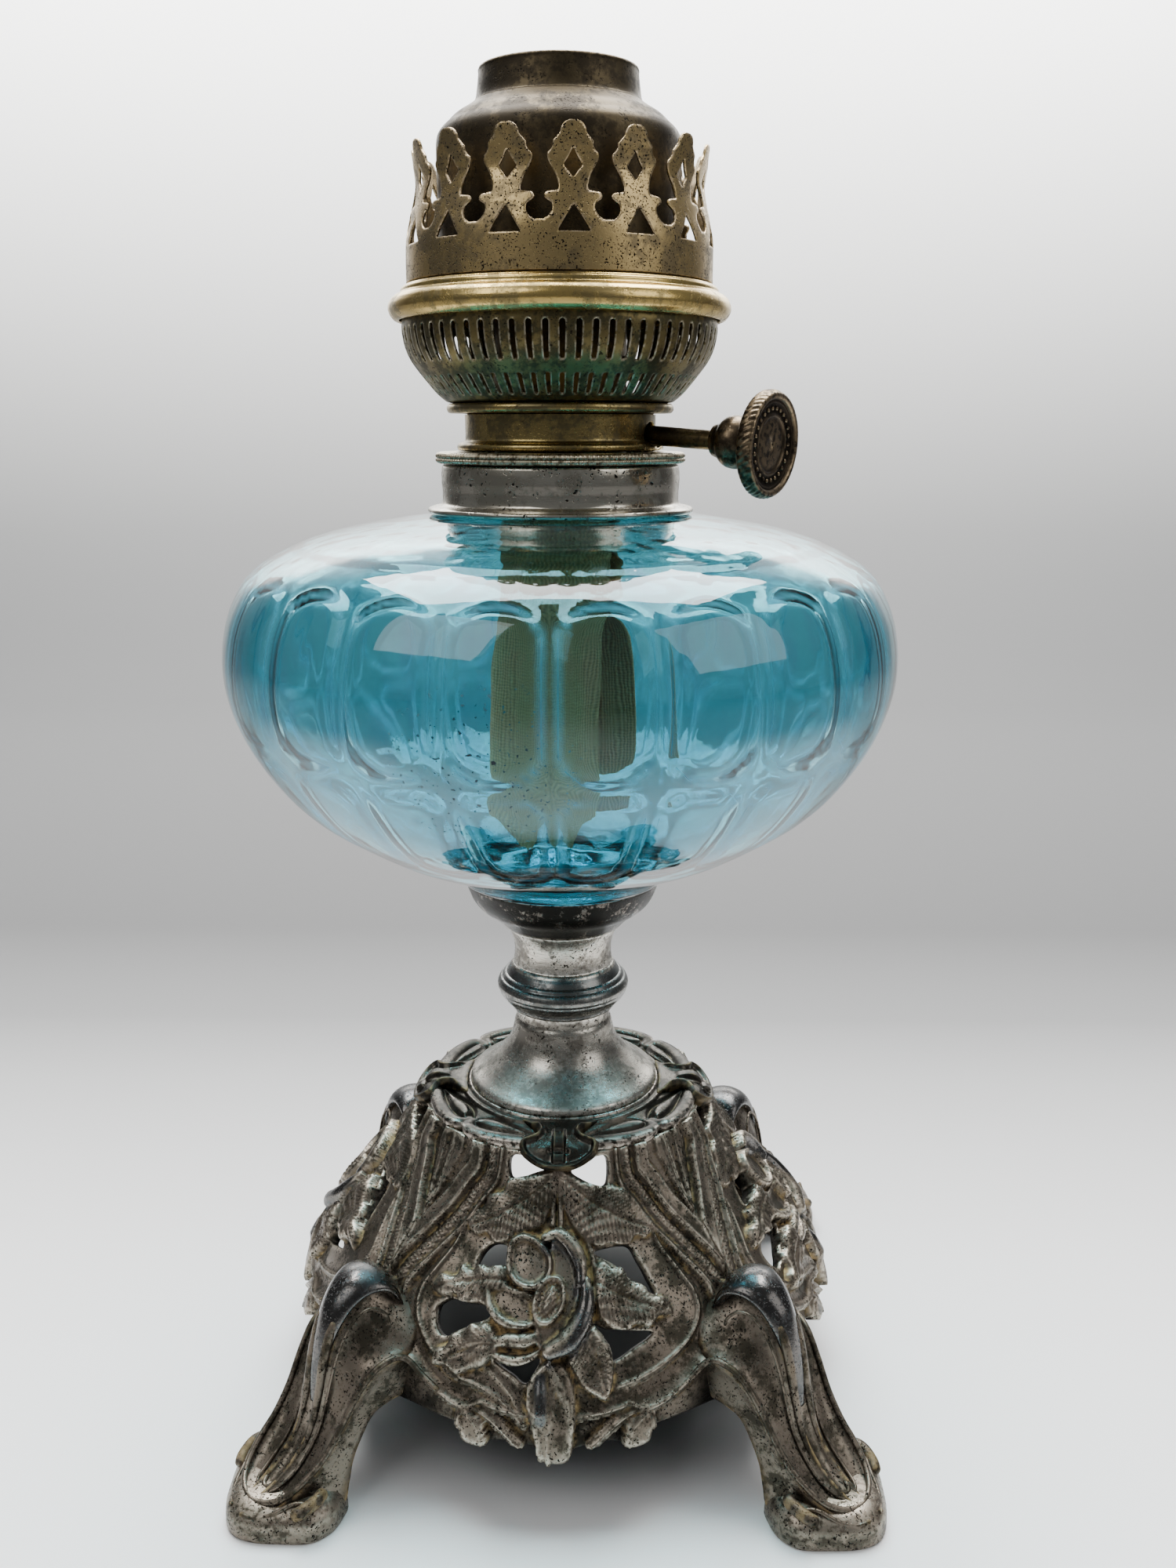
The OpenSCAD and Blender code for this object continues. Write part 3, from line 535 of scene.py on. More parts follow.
def paint_relief(ob, reach=1.5, coarse=1.0):
    """Paint where a mesh stands out from (worn) or lies under (hollow) itself smoothed over reach millimetres."""
    me = ob.data
    n = len(me.vertices)
    co, normal, ends = np.empty(3 * n, np.float32), np.empty(3 * n, np.float32), np.empty(2 * len(me.edges), np.int32)
    me.vertices.foreach_get("co", co)
    me.vertices.foreach_get("normal", normal)
    me.edges.foreach_get("vertices", ends)
    co, normal, (a, b) = co.reshape(-1, 3) / MM, normal.reshape(-1, 3), ends.reshape(-1, 2).T
    mean = np.median(np.linalg.norm(co[a] - co[b], axis=1))
    count = np.maximum(np.bincount(a, minlength=n) + np.bincount(b, minlength=n), 1)
    p = co.astype(float)
    for _ in range(int(np.clip((reach / mean) ** 2, 2, 30))):
        q = np.stack([np.bincount(a, p[b, k], n) + np.bincount(b, p[a, k], n) for k in range(3)], 1)
        p = 0.4 * p + 0.6 * q / count[:, None]
    h = np.einsum("ij,ij->i", co - p, normal)
    paint(ob, "worn", np.clip((h / coarse - 0.04) / 0.22, 0, 1))
    paint(ob, "hollow", np.clip((-h / coarse - 0.02) / 0.25, 0, 1))
    paint(ob, "dusty", np.clip((-h / coarse - 0.08) / 0.25, 0, 1))


# The foot: openwork panels, legs and plate.

FLARE = spline([[70, 12], [70, 14], [69.6, 20], [67.4, 28], [64.2, 35], [60, 42], [54.4, 49],
                [48, 56], [42.2, 63.7], [38.6, 70], [36, 75.4], [34.4, 79]], 12)
FLARE_S = np.concatenate([[0], np.cumsum(np.hypot(*np.diff(FLARE, axis=0).T))])
FLARE_N = np.stack([np.gradient(FLARE[:, 1], FLARE_S), -np.gradient(FLARE[:, 0], FLARE_S)], 1)
CAST = 2.6


def flare_at(s):
    """Radius, height and outward direction of the foot's flare at the distance s up along it."""
    return [np.interp(s, FLARE_S, c) for c in (FLARE[:, 0], FLARE[:, 1], FLARE_N[:, 0], FLARE_N[:, 1])]


def chart(pts):
    """Points seen from the front (x, z) as distances round and up the flare."""
    p = np.asarray(pts, float)
    s = np.interp(p[:, 1], FLARE[:, 1], FLARE_S)
    r = np.interp(p[:, 1], FLARE[:, 1], FLARE[:, 0])
    return np.stack([r * np.arcsin(np.clip(p[:, 0] / r, -1, 1)), s], 1)


def shape(pts, n=5):
    return chart(spline(pts, n, closed=True))


WINDOWS = [
    [(-12, 74.3), (-11.8, 70.2), (-8.1, 70.8), (-5.6, 71.7), (-3.2, 72.5), (-5, 73.2), (-8.2, 75)],
    [(3, 72.2), (5.8, 70.3), (9.2, 68.9), (11.8, 69), (11.8, 74.4), (8.4, 74.8), (6, 73.6)],
    [(-19.4, 52.8), (-17.6, 55.6), (-14.8, 57.2), (-11.4, 56.8), (-11.6, 54), (-13.6, 53.2), (-16.6, 53)],
    [(-28.2, 44.6), (-25, 46.4), (-21.4, 46.4), (-17, 46.6), (-15.4, 45), (-19.4, 43), (-22.4, 41.6),
     (-25, 40), (-27.4, 39.6), (-28.8, 41.6)],
    [(8.6, 56.3), (12.6, 57), (17, 56.6), (19.2, 54), (21, 51.6), (23.4, 47.6), (20.4, 49.2), (16.4, 51.6),
     (13.6, 53.8)],
    [(8.4, 44.6), (12, 43.4), (16, 42.8), (22.8, 41.4), (18.2, 39.2), (13.4, 37.4), (12.4, 40.6)],
    [(-15.2, 37.8), (-12.2, 37), (-8, 37.2), (-3.6, 38.6), (-4.8, 36), (-7, 33.4), (-10, 35), (-13, 36.4)],
]
APRON = [(0, 17.4), (2.2, 17.9), (4.6, 19.4), (8, 20.3), (12, 20.7), (15, 20.2), (18.4, 19.8), (21.4, 20.6),
         (22.2, 22.6), (25, 23), (29, 23.3), (34, 23.6), (40, 23.4), (52, 23)]
# leaves: outline, then the midrib from the stalk to the tip, and swell
LEAVES = [
    ([(-0.6, 72), (-4.4, 71.6), (-7.6, 70.6), (-10.6, 70.6), (-12.4, 69), (-13, 67.2), (-16.2, 65.8), (-17.4, 63.6),
      (-20, 61.8), (-21.4, 59.2), (-19.2, 58), (-16.8, 58.6), (-14.8, 57.2), (-11.8, 57.8), (-8.4, 59.4),
      (-5.4, 60.4), (-3.2, 61.6), (-1.6, 65.4)],
     [(-0.8, 71.5), (-4.4, 68.6), (-9.4, 65), (-14.4, 62), (-20.8, 59)], 0.9),
    ([(0.4, 72), (3.4, 71.4), (6, 69.8), (9.4, 69.8), (12.4, 68.6), (15.6, 67.2), (17.6, 65), (19.4, 63.4),
      (21.4, 61), (22.8, 58.8), (20.4, 57.4), (18.4, 58.2), (16.4, 56.6), (12.6, 57.4), (9.4, 57.2), (6.4, 58.8),
      (3.4, 61.4), (1.2, 65.4)],
     [(0.8, 71.5), (4.6, 68.2), (9.6, 64.6), (15.2, 61.6), (22.2, 58.4)], 0.9),
    ([(-11, 52.8), (-13.6, 54.4), (-15.6, 52.8), (-18.2, 54), (-19.6, 52), (-22.4, 52.4), (-23.6, 50.2), (-27, 49.8),
      (-29.6, 46.8), (-26, 46.4), (-23.4, 47.2), (-22, 45.4), (-18.8, 46.6), (-16.4, 46.6), (-15, 48.8), (-11, 50)],
     [(-11, 51.2), (-17, 50.6), (-23, 49.2), (-29, 47)], 1.5),
    ([(-12.6, 41), (-15, 43.8), (-17.6, 43.2), (-19.6, 43.4), (-21.2, 41.4), (-24, 40.8), (-25.2, 38.4), (-27.6, 37),
      (-28.2, 34), (-25.2, 34.6), (-22.6, 33.4), (-19.4, 34.8), (-16.8, 35.8), (-14, 38.4)],
     [(-12.8, 40.4), (-17.4, 39.8), (-22.4, 37.6), (-27.4, 34.6)], 1.6),
    ([(8.6, 49.6), (8.6, 53.4), (10.8, 54.8), (12.8, 53.4), (15.4, 53), (16.8, 50.8), (20, 50.2), (21.6, 47.8),
      (25, 46.8), (27, 43.8), (23.6, 44), (21.4, 42.4), (18.4, 43.4), (15.4, 42.2), (11.4, 44), (9.4, 46.2)],
     [(8.8, 51.4), (13, 49.4), (19, 46.8), (26.4, 44)], 1.7),
    ([(6.2, 44.4), (9, 44.4), (11, 42), (12.6, 39.8), (13.4, 36.8), (13, 33.8), (11.6, 30.6), (8.8, 31.6),
      (6, 33.4), (4, 36), (2.8, 38.4), (4.4, 41)],
     [(6.4, 43.6), (9, 39.4), (10.6, 35), (11.4, 31)], 1.9),
]


def leaf(A, S, pts, rib, swell):
    """Height of a leaf: a rounded edge, a sunk midrib and side veins that lean towards its tip."""
    d = outline(A, S, shape(pts, 4))
    q, t = along(A, S, chart(spline(rib, 6)))
    wide = np.abs(q)
    h = 0.9 + swell * dome(d, 2.6) - 0.35 * np.exp(-(wide / 0.4) ** 2)
    h += 0.19 * np.cos(TAU * (t - 0.9 * wide) / 1.25) * ease(wide, 0.3, 1.4) * ease(d, 0.1, 0.9)
    h += 0.1 * np.cos(TAU * (t + 1.6 * wide) / 0.9) * ease(d, 0.3, 1.2)
    h += 0.3 * np.sin(0.5 * t) * swell
    return np.where(d > 0, h, -9)


def roll(A, S, path, r, base, ends=True):
    """Height of a round bar of radius r(t) that lies along a path on the flare."""
    p = chart(spline(path, 6))
    q, t = along(A, S, p)
    run = np.hypot(*np.diff(p, axis=0).T).sum()
    rr = np.interp(t / run, np.linspace(0, 1, len(r)), r)
    return np.where(np.abs(q) < rr, base + np.sqrt(np.clip(rr ** 2 - q ** 2, 0, None)), -9)


# the two big glossy petals of the rose and the smaller one under them, with their widths
PETALS = [([(-2.6, 59), (0.4, 59.6), (3.4, 57.4), (5.2, 54.2), (5.4, 51.2)], 1.9),
          ([(6.6, 51.4), (6.8, 48.2), (5.6, 44.8), (2.8, 41.8), (-1.2, 40)], 2.7),
          ([(-3.4, 36), (-3.2, 32), (-3.2, 28)], 1.6)]


def rose(A, S):
    """Height of the open rose: a dished petal, rolled petals and crescents round a grainy button."""
    h = np.full(A.shape, -9.0)
    dish = outline(A, S, shape([(-11.6, 55.6), (-10.8, 58), (-7.8, 59.6), (-4.2, 58.8), (-1.4, 56.6), (-0.6, 53.8),
                                (-1.8, 51.4), (-5, 49.9), (-9, 50.4), (-11.4, 52.6)]))
    h = over(h, np.where(dish > 0, 2.2 + 1.5 * np.exp(-((dish - 0.8) / 0.7) ** 2) * dome(dish, 0.6)
                         + 0.06 * dish, -9))
    low_petal = outline(A, S, shape([(-15.4, 50.2), (-13, 50.8), (-9.4, 50.2), (-5, 49.4), (-3.6, 46.8), (-4.2, 44.4),
                                     (-8, 43.4), (-12, 43.6), (-15, 45.4), (-16.2, 48)]))
    h = over(h, np.where(low_petal > 0, 1.5 + 0.9 * np.exp(-((low_petal - 0.7) / 0.6) ** 2) * dome(low_petal, 0.6), -9))
    back = outline(A, S, shape([(-1.5, 58.6), (3.6, 57.6), (6.8, 53), (7.6, 48), (6, 43), (2, 39.6), (-3, 40),
                                (-4.8, 43), (-3, 50), (-1, 54)]))
    h = over(h, np.where(back > 0, 1.8 + 0.6 * dome(back, 1), -9))
    h = over(h, roll(A, S, [(-15.6, 49), (-15, 46.6), (-12.8, 44.8), (-9.6, 44), (-6.4, 44)], (0.7, 1.1, 1.2, 1, 0.5), 1.9))
    h = over(h, roll(A, S, [(-13.6, 40.6), (-11, 41.4), (-7, 41.6), (-3.4, 42.6)], (1, 1.6, 1.7, 0.8), 1.5))
    h = over(h, roll(A, S, [(-14, 38.8), (-11, 37.9), (-7, 38.2), (-3.8, 39.8)], (0.7, 1.2, 1.3, 0.6), 1.3))
    button = outline(A, S, shape([(-5.4, 46.6), (-4.6, 49.8), (-2.4, 52), (0.6, 52.2), (2.2, 50.2), (1.8, 47),
                                  (-0.8, 44.6), (-3.8, 44.4)]))
    grains = 0.35 * np.cos(A * 5.2) * np.cos(S * 4.6 + A)
    h = over(h, np.where(button > 0, 2.4 + 1.5 * dome(button, 0.5) - 0.9 * ease(button, 0.6, 1.3)
                         + grains * ease(button, 0.3, 0.9) + 0.8 * ease(button, 2, 3.2), -9), 0.15)
    h = over(h, roll(A, S, PETALS[0][0], (1.1, 1.7, 1.9, 1.7, 1.2), 2.6), 0.15)
    h = over(h, roll(A, S, PETALS[1][0], (1.2, 2.1, 2.5, 2.7, 1.9), 2.5), 0.15)
    return h


def bud(A, S):
    """Height of the closed bud at the bottom of a panel, with two sepals and its stalk to the apron."""
    body = outline(A, S, shape([(-6.2, 32.4), (-4.8, 36), (-2.4, 37.8), (0.2, 38), (2.6, 37), (4.2, 34), (4.8, 29.6),
                                (4.4, 24), (3.4, 18.6), (0.4, 17.4), (-3.4, 18.4), (-4.6, 22), (-6, 27)]))
    h = np.where(body > 0, 0.8 + 1.3 * dome(body, 2.4), -9)
    h = over(h, roll(A, S, [(-3.4, 36), (-3.2, 32), (-3.2, 28), (-2.8, 24.6)], (0.9, 2, 2.4, 0.9), 1.2))
    h = over(h, roll(A, S, [(-2.2, 37.4), (-5, 34.4), (-5.6, 30), (-4.2, 25.6), (-3.6, 20), (-3.2, 18)], (0.7, 0.9, 0.8, 0.7, 0.6, 0.5), 1.6))
    h = over(h, roll(A, S, [(-1.4, 37.6), (0.6, 34.4), (2.2, 31.2), (3, 27.6)], (0.9, 1.5, 1.2, 0.6), 1.7))
    h = over(h, roll(A, S, [(-1, 37.6), (-0.6, 33), (-0.8, 28), (-1.6, 25), (-1.4, 18)], (0.4, 0.6, 0.7, 0.5, 0.5), 2))
    return h


def ridge(A, S, pts, width, height, base=0.0):
    """Height of a thin raised line."""
    q, t = along(A, S, chart(spline(pts, 6)))
    return np.where(np.abs(q) < 3 * width, base + height * np.exp(-(q / width) ** 2), -9)


def foot_relief(A, S, theta):
    """Relief of a quarter of the foot over the flare, in millimetres."""
    mirror = np.abs(A)
    r, z, _, _ = flare_at(S)
    h = 0.12 * np.sin(0.35 * A) * np.sin(0.3 * S)
    # the apron below the arch line turns a little inwards
    arch = [(0, 27), (9.3, 27.9), (14.6, 28.6), (17.2, 29.1), (21.2, 27.4), (26.6, 28.9), (31.4, 31.4),
            (34.9, 33.7), (40, 33.6), (52, 33)]
    q, t = along(mirror, S, chart(spline(arch, 6)))
    h = h - 1.3 * ease(-q, 0.2, 1.6) - 0.08 * np.clip(-q, 0, 12)
    h = over(h, np.where(np.abs(q) < 1.6, 0.95 * np.exp(-(q / 0.62) ** 2), -9), 0.4)
    # scroll curls of the apron
    h = over(h, ridge(mirror, S, [(22.4, 21), (22.2, 24.6), (20.6, 26.9), (18, 27.2), (14.4, 25.6), (10, 22), (8.4, 20.6)],
                      0.5, 0.9), 0.3)
    lobe = outline(mirror, S, shape([(17, 26), (16.2, 23), (16.6, 19.8), (19, 19.4), (21.6, 20.4), (22, 23.4), (20.6, 26)]))
    h = over(h, np.where(lobe > 0, 0.3 + 0.9 * dome(lobe, 1.8), -9), 0.3)
    h = over(h, ridge(mirror, S, [(20.4, 26.4), (18.2, 24.6), (17, 22), (16.8, 19.6)], 0.4, 0.7, 0.7), 0.2)
    # frame lines round the flower, one thin and sharp and one broad
    frame_line = [(14.6, 32.8), (18.6, 33.6), (24, 35.2), (29, 37.4), (32.2, 40), (33.3, 42.9), (32.1, 46.3),
                  (28.7, 50.3), (24.4, 55), (21.6, 59.6)]
    q, t = along(A, S, chart(spline(frame_line, 6)))
    h = h - 0.9 * ease(-q, 0, 0.5) * ease(7 - np.abs(q), 0, 3) * ease(t, 0, 6)
    h = over(h, ridge(A, S, frame_line, 0.45, 0.9), 0.3)
    left_line = [(-7.4, 25.4), (-9.6, 28), (-13, 30.6), (-18, 32.4), (-24, 33.6), (-29, 36.6), (-32, 40),
                 (-33, 43), (-32, 46.6), (-28.6, 50.6), (-24.6, 55), (-21.8, 59.6)]
    q, t = along(A, S, chart(spline(left_line, 6)))
    h = h - 0.9 * ease(q, 0, 0.5) * ease(7 - np.abs(q), 0, 3) * ease(t, 8, 16)
    h = over(h, ridge(A, S, left_line, 0.5, 0.9), 0.3)
    h = over(h, ridge(A, S, [(-6.2, 33.8), (-10.6, 35.6), (-15, 37.8), (-17, 36.6), (-13.6, 34.6), (-9.6, 31), (-7.2, 26.6)],
                      0.6, 0.7), 0.3)
    # ribs: stippled moulding and two smooth bands that run down every corner
    edge = [(12.6, 76.5), (13.8, 69), (17.6, 64), (21.8, 58.8), (27.8, 53.2), (33.6, 48), (37, 44)]
    q, t = along(mirror, S, chart(spline(edge, 6)))
    fade = ease(S, 26, 38)
    q = -q
    over_edge = ease(-q, 0, 0.5)
    bead = 0.42 * np.clip(np.cos(TAU * t / 1.15), -0.2, 1) * np.exp(-((q + 3.3) / 0.55) ** 2)
    grains = 0.26 * np.cos(A * 6.3 + 2 * S) * np.cos(S * 6.9 - 2.5 * A) * ease(-q, 1.2, 1.8) * ease(q, -5, -4.4)
    rib = (0.8 + 0.6 * np.exp(-((q + 0.7) / 0.4) ** 2) - 0.5 * np.exp(-((q + 1.8) / 0.5) ** 2) + bead + grains
           - 0.6 * np.exp(-((q + 4.7) / 0.4) ** 2) + 1.7 * ease(-q, 5.0, 5.5) * ease(q, -8.8, -8.3)
           - 0.25 * np.exp(-((q + 6.9) / 1.1) ** 2) - 0.6 * np.exp(-((q + 9.2) / 0.4) ** 2))
    rest = np.clip(-q - 9.4, 0, None)
    share = rest / np.maximum(rest + np.clip(0.25 * np.pi * r - mirror, 0, None), 0.3)
    # a second smooth band takes up the middle of what is left before the corner, on a stippled ground
    rib = rib + 0.9 * ease(share, 0.3, 0.38) * ease(share, 0.72, 0.64) - 0.3 * ease(share, 0.02, 0.1)
    rib = rib + 0.2 * np.cos(A * 6.3 + 2 * S) * np.cos(S * 6.9 - 2.5 * A) * ease(share, 0.02, 0.1) * ease(share, 0.38, 0.3)
    h = np.where(over_edge > 0, over(h, np.where(q < 0.4, rib * over_edge, -9) * fade - 4 * (1 - fade), 0.3), h)
    # stalks that come down from the tip of the plate to the rose
    for path in ([(-0.6, 73.4), (-1, 68), (-1.2, 61.4)], [(0.6, 73.4), (2, 67), (3.6, 62), (7.2, 58), (9, 53)],
                 [(0.1, 73.4), (0.6, 66), (0.8, 60)]):
        h = over(h, roll(A, S, path, (0.6, 0.7, 0.6), 0.7))
    for pts, rib_line, swell in LEAVES:
        h = over(h, leaf(A, S, pts, rib_line, swell), 0.25)
    h = over(h, bud(A, S), 0.25)
    h = over(h, rose(A, S), 0.25)
    return h


def foot_cut(A, S):
    """Distance to the nearest edge of the metal: windows, apron and top."""
    d = np.interp(76.0, FLARE[:, 1], FLARE_S) - S
    for w in WINDOWS:
        d = np.minimum(d, -outline(A, S, shape(w)))
    q, t = along(np.abs(A), S, chart(spline(APRON, 4)))
    return np.minimum(d, q)


def foot_quarter():
    nu, nv = 230, 176
    theta = np.radians(np.linspace(-45, 45, nu))
    s0, s1 = np.interp(16.6, FLARE[:, 1], FLARE_S), np.interp(77, FLARE[:, 1], FLARE_S)
    U, V = np.meshgrid(theta, np.linspace(s0, s1, nv), indexing="ij")

    def place(u, v, side):
        r, z, nr, nz = flare_at(v)
        h = foot_relief(r * u, v, u) if side == 0 else -CAST + 0 * u
        R, Z = r + nr * h, z + nz * h
        return np.stack([R * np.sin(u), -R * np.cos(u), Z], -1)

    return cut_sheet(U, V, lambda u, v: foot_cut(flare_at(v)[0] * u, v), place, (60, 1, 0.3))


quarter = foot_quarter()
x, y, z = quarter[0].T
A, S = np.hypot(x, y) * np.arctan2(x, -y), np.interp(z, FLARE[:, 1], FLARE_S)
# polished petals: less roughness, and a painted dark reflection
glossy = np.zeros(len(x))
for petal, width in PETALS:
    q, _ = along(A, S, chart(spline(petal, 6)))
    glossy = np.maximum(glossy, ease(-np.abs(q), -width, -0.6 * width))
glossy *= np.hypot(x, y) > np.interp(z, FLARE[:, 1], FLARE[:, 0]) + 1.0
# painted shade: the inner face of the openwork is marked here, to be painted near black
inside = ease(np.interp(z, FLARE[:, 1], FLARE[:, 0]) - np.hypot(x, y), 1.2, 2.2)
for side, az in SIDES.items():
    ob = put("foot_openwork_" + side, [spin(quarter, az - FRONT)], M["spelter"], "lamp", "spelter")
    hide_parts("panel_" + side)
    paint_relief(ob, 1.5, 2.0)
    paint(ob, "polish_and_painted_reflection", glossy)
    paint(ob, "inside", inside)


# Legs. Their rails are (outwards along the corner's diagonal, sideways, up).
LEG_FRONT = [(56, 0, 45), (61, 0, 48), (66, 0, 49.6), (70.5, 0, 48.8), (74.4, 0, 45.6), (77.4, 0, 40.6), (79.4, 0, 34),
             (80.9, 0, 27.4), (82.6, 0, 21), (85, 0, 15.4), (89, 0, 11), (93.6, 0, 8.2), (98, 0, 6.6), (100.5, 0, 5)]
LEG_EDGE = [(54, 10, 42), (57, 11.5, 40), (59.4, 12.6, 38.4), (61.6, 13.6, 36.8), (64, 14.2, 35), (67.4, 13.9, 34.6),
            (72.2, 12.7, 33), (76.4, 11.6, 28), (80.4, 10.8, 21.6), (84.8, 10.4, 16), (89.4, 9.9, 12),
            (94, 8.8, 8.8), (97.6, 6.8, 6.6), (100, 4, 5)]
LEG_INNER = [(52, 9, 39), (54, 10, 35.6), (56, 11, 32), (58, 12, 28), (60.5, 13, 25.4), (64, 13.6, 23.6),
             (68.4, 13, 23), (72.4, 12, 21), (75.6, 11.8, 16.8), (78.4, 11.9, 12), (80.2, 12.6, 7.6),
             (82.4, 13.4, 3.6), (87, 11.4, 2), (93, 7, 1.6)]


def leg_body():
    """The hollow shank: cross sections through three rails a side, joined along the leg."""
    A, D, E = (spline(p, 7) for p in (LEG_FRONT, LEG_EDGE, LEG_INNER))
    tan = np.gradient(A, axis=0)
    tan /= np.linalg.norm(tan, axis=1, keepdims=True)
    out = np.stack([tan[:, 2], 0 * tan[:, 0], -tan[:, 0]], 1) * -1
    out *= np.sign(out[:, :1] + 1e-9 + out[:, 2:3])
    v = np.linspace(0, 1, len(A))
    knee = np.interp(v, [0, 0.35, 0.6, 1], [0.6, 1, 0.5, 0.2])
    half = []
    for s, h in ((0, -0.2), (0.07, -0.2), (0.14, 0.1), (0.2, 0.9), (0.27, 0.5), (0.32, -0.4), (0.42, -0.7), (0.55, -0.8),
                 (0.7, -0.8), (0.82, -0.7), (0.9, -0.3), (0.96, 0.2)):
        half.append(A + (D - A) * s + out * (h + 1.4 * knee * math.sin(math.pi * s) * 0.3)[:, None])
    half.append(D + out * 0.25)
    inward = np.array([0, -1.0, 0])
    for s, h in ((0.08, 0.35), (0.2, 0.1), (0.4, 0), (0.6, 0), (0.8, 0), (0.94, 0), (1, -0.3)):
        half.append(D + (E - D) * s + inward * -h)
    half.append(E + inward * 1.2 + [0.3, 0, 0.2])
    half.append(E + inward * 2.2 + [0.9, 0, 0.8])
    for s in (0.5, 0.9):
        half.append(E + (D - E) * s + inward * 2.4 - out * 1.2)
    half.append(A + (D - A) * 0.6 - out * 2.6)
    half.append(A + (D - A) * 0.25 - out * 2.6)
    half.append(A - out * 2.6)
    half = np.stack(half, 1)
    rest = half[:, -2:0:-1] * [1, -1, 1]
    ring = np.concatenate([half, rest], 1)
    k = ring.shape[1]
    caps = [np.stack([np.arange(1, k // 2), np.arange(2, k // 2 + 1), k - np.arange(2, k // 2 + 1), k - np.arange(1, k // 2)], 1)]
    base = (len(A) - 1) * k
    first = caps[0]
    last = caps[0] + base
    tri0 = np.array([[0, 1, 1, k - 1]])
    return ring, [quads(len(A), k, False, True)[:, ::-1], first[:, ::-1], last]


def leg_lines():
    """Raised lines laid on the leg: the outer one that turns round the toe, two more inside it."""
    edge = [(62.6, 24.7, 28.9), (63.6, 18.8, 31.4), (64.8, 15.3, 33.9), (67.8, 14, 35), (72.6, 12.8, 33.2),
            (76.9, 11.7, 28.2), (80.9, 10.9, 21.8), (85.3, 10.5, 16.2), (89.9, 9.9, 12.6), (94.4, 8.2, 9.4), (97.8, 4.8, 7.5)]
    edge = edge + [(99.2, 0, 6.9)] + [(r, -q, z) for r, q, z in edge[::-1]]
    inner = [(75.6, 2.6, 43.6), (77.4, 2.4, 39.8), (79.4, 2.3, 33.4), (81.2, 2.3, 25.6), (83.6, 2.3, 18), (87.6, 2.3, 12.2),
             (91.6, 2.1, 9.2), (94.4, 1.3, 8)]
    size = [0.9, 1.2, 1.2, 1.05, 0.9, 0.75, 0.7, 0.65]
    inner = inner + [(95.2, 0, 7.6)] + [(r, -q, z) for r, q, z in inner[::-1]]
    size = size + [0.6] + size[::-1]
    path = spline(inner, 6)
    rad = np.interp(np.arange(len(path)) / 6, np.arange(len(size)), size)
    out = [bar(spline(edge, 7), 0.75, 10, around=np.array([0.4, 0, 0.9])), bar(path, rad, 12, around=np.array([0.0, 1.0, 0.25]))]
    thin = [(65.6, 10, 41.4), (66.2, 9.4, 43.8), (68.4, 8, 45.6), (71.4, 6.6, 44.8), (74.6, 5.8, 41.4), (77, 5.2, 36.6),
            (79, 4.8, 30.4), (80.8, 4.6, 24), (83.2, 4.5, 18), (87, 4.4, 13), (91, 4.2, 10), (95.2, 3, 8), (96.8, 0, 7.3)]
    thin = thin + [(r, -q, z) for r, q, z in thin[-2::-1]]
    out.append(bar(spline(thin, 6), 0.38, 8, around=np.array([0.4, 0.1, 0.9])))
    return out


# the hood over the knee: middle (r, z), half-width and crest (r, z) of each section
HOOD = [(59.2, 41.4, 5.2, 59.4, 44.6), (59.5, 42, 6.8, 60, 46), (61, 44.6, 7.3, 60.2, 48.8), (62.6, 47, 7.0, 62, 50.8),
        (65.2, 48.4, 6.4, 65.4, 51.9), (68.4, 48.4, 5.6, 69, 51.6), (71.8, 46.6, 4.7, 73, 49.4), (74.8, 43, 3.9, 76.4, 45.4),
        (77, 38.4, 3.1, 78.8, 40.0), (78.8, 33, 2.4, 80.4, 33.9), (80.2, 27, 1.7, 81.4, 27.5), (81.4, 22.6, 0.9, 81.8, 22.7)]


def hood():
    """The glossy saddle over the knee, lofted through ellipses."""
    s = spline(HOOD, 7)
    a = np.linspace(0, TAU, 40, endpoint=False)
    mid = np.stack([s[:, 0], 0 * s[:, 0], s[:, 1]], 1)
    up = np.stack([s[:, 3] - s[:, 0], 0 * s[:, 0], s[:, 4] - s[:, 1]], 1)
    ends = np.ones(len(s))
    ends[[0, -1]] = 0.01
    lip = 1 + 0.1 * np.abs(np.sin(a)) ** 6
    ring = mid[:, None] + ends[:, None, None] * (up[:, None] * (np.cos(a) * np.where(np.cos(a) < 0, 0.6, 1))[None, :, None]
                                                 + s[:, None, 2:3] * (np.sin(a) * lip)[None, :, None] * np.array([0, 1, 0]))
    return ring, quads(len(s), len(a), False, True)


def leg_sole():
    """The foot: a rounded square outline that steps in as it rises."""
    half = [(104.6, 0), (104, 3), (102, 6.4), (98.4, 10.4), (94, 14.6), (90.6, 15.8), (87, 15.6), (83.4, 14), (80.4, 11.6), (79.4, 6)]
    line = spline(half + [(79.2, 0)] + [(r, -q) for r, q in half[:0:-1]], 6, closed=True)
    mid = np.array([91.0, 0])
    rings = []
    for k, z, tilt in ((0.0, 0, 0), (0.6, 0, 0), (0.965, 0, 0), (0.99, 0.25, 0), (1.0, 0.9, 0), (0.995, 2.6, 0.2), (0.985, 4, 0.4), (0.95, 5.0, 0.8),
                       (0.88, 5.9, 1.2), (0.76, 6.7, 1.8), (0.6, 7.3, 1.6), (0.3, 7.6, 1), (0, 7.7, 0.6)):
        p = mid + (line - mid) * max(k, 0.001)
        lean = (104 - p[:, 0]) / 24 * tilt
        rings.append(np.column_stack([p, z + lean]))
    v = np.stack(rings, 1)
    return v, quads(len(line), len(rings), True, False)


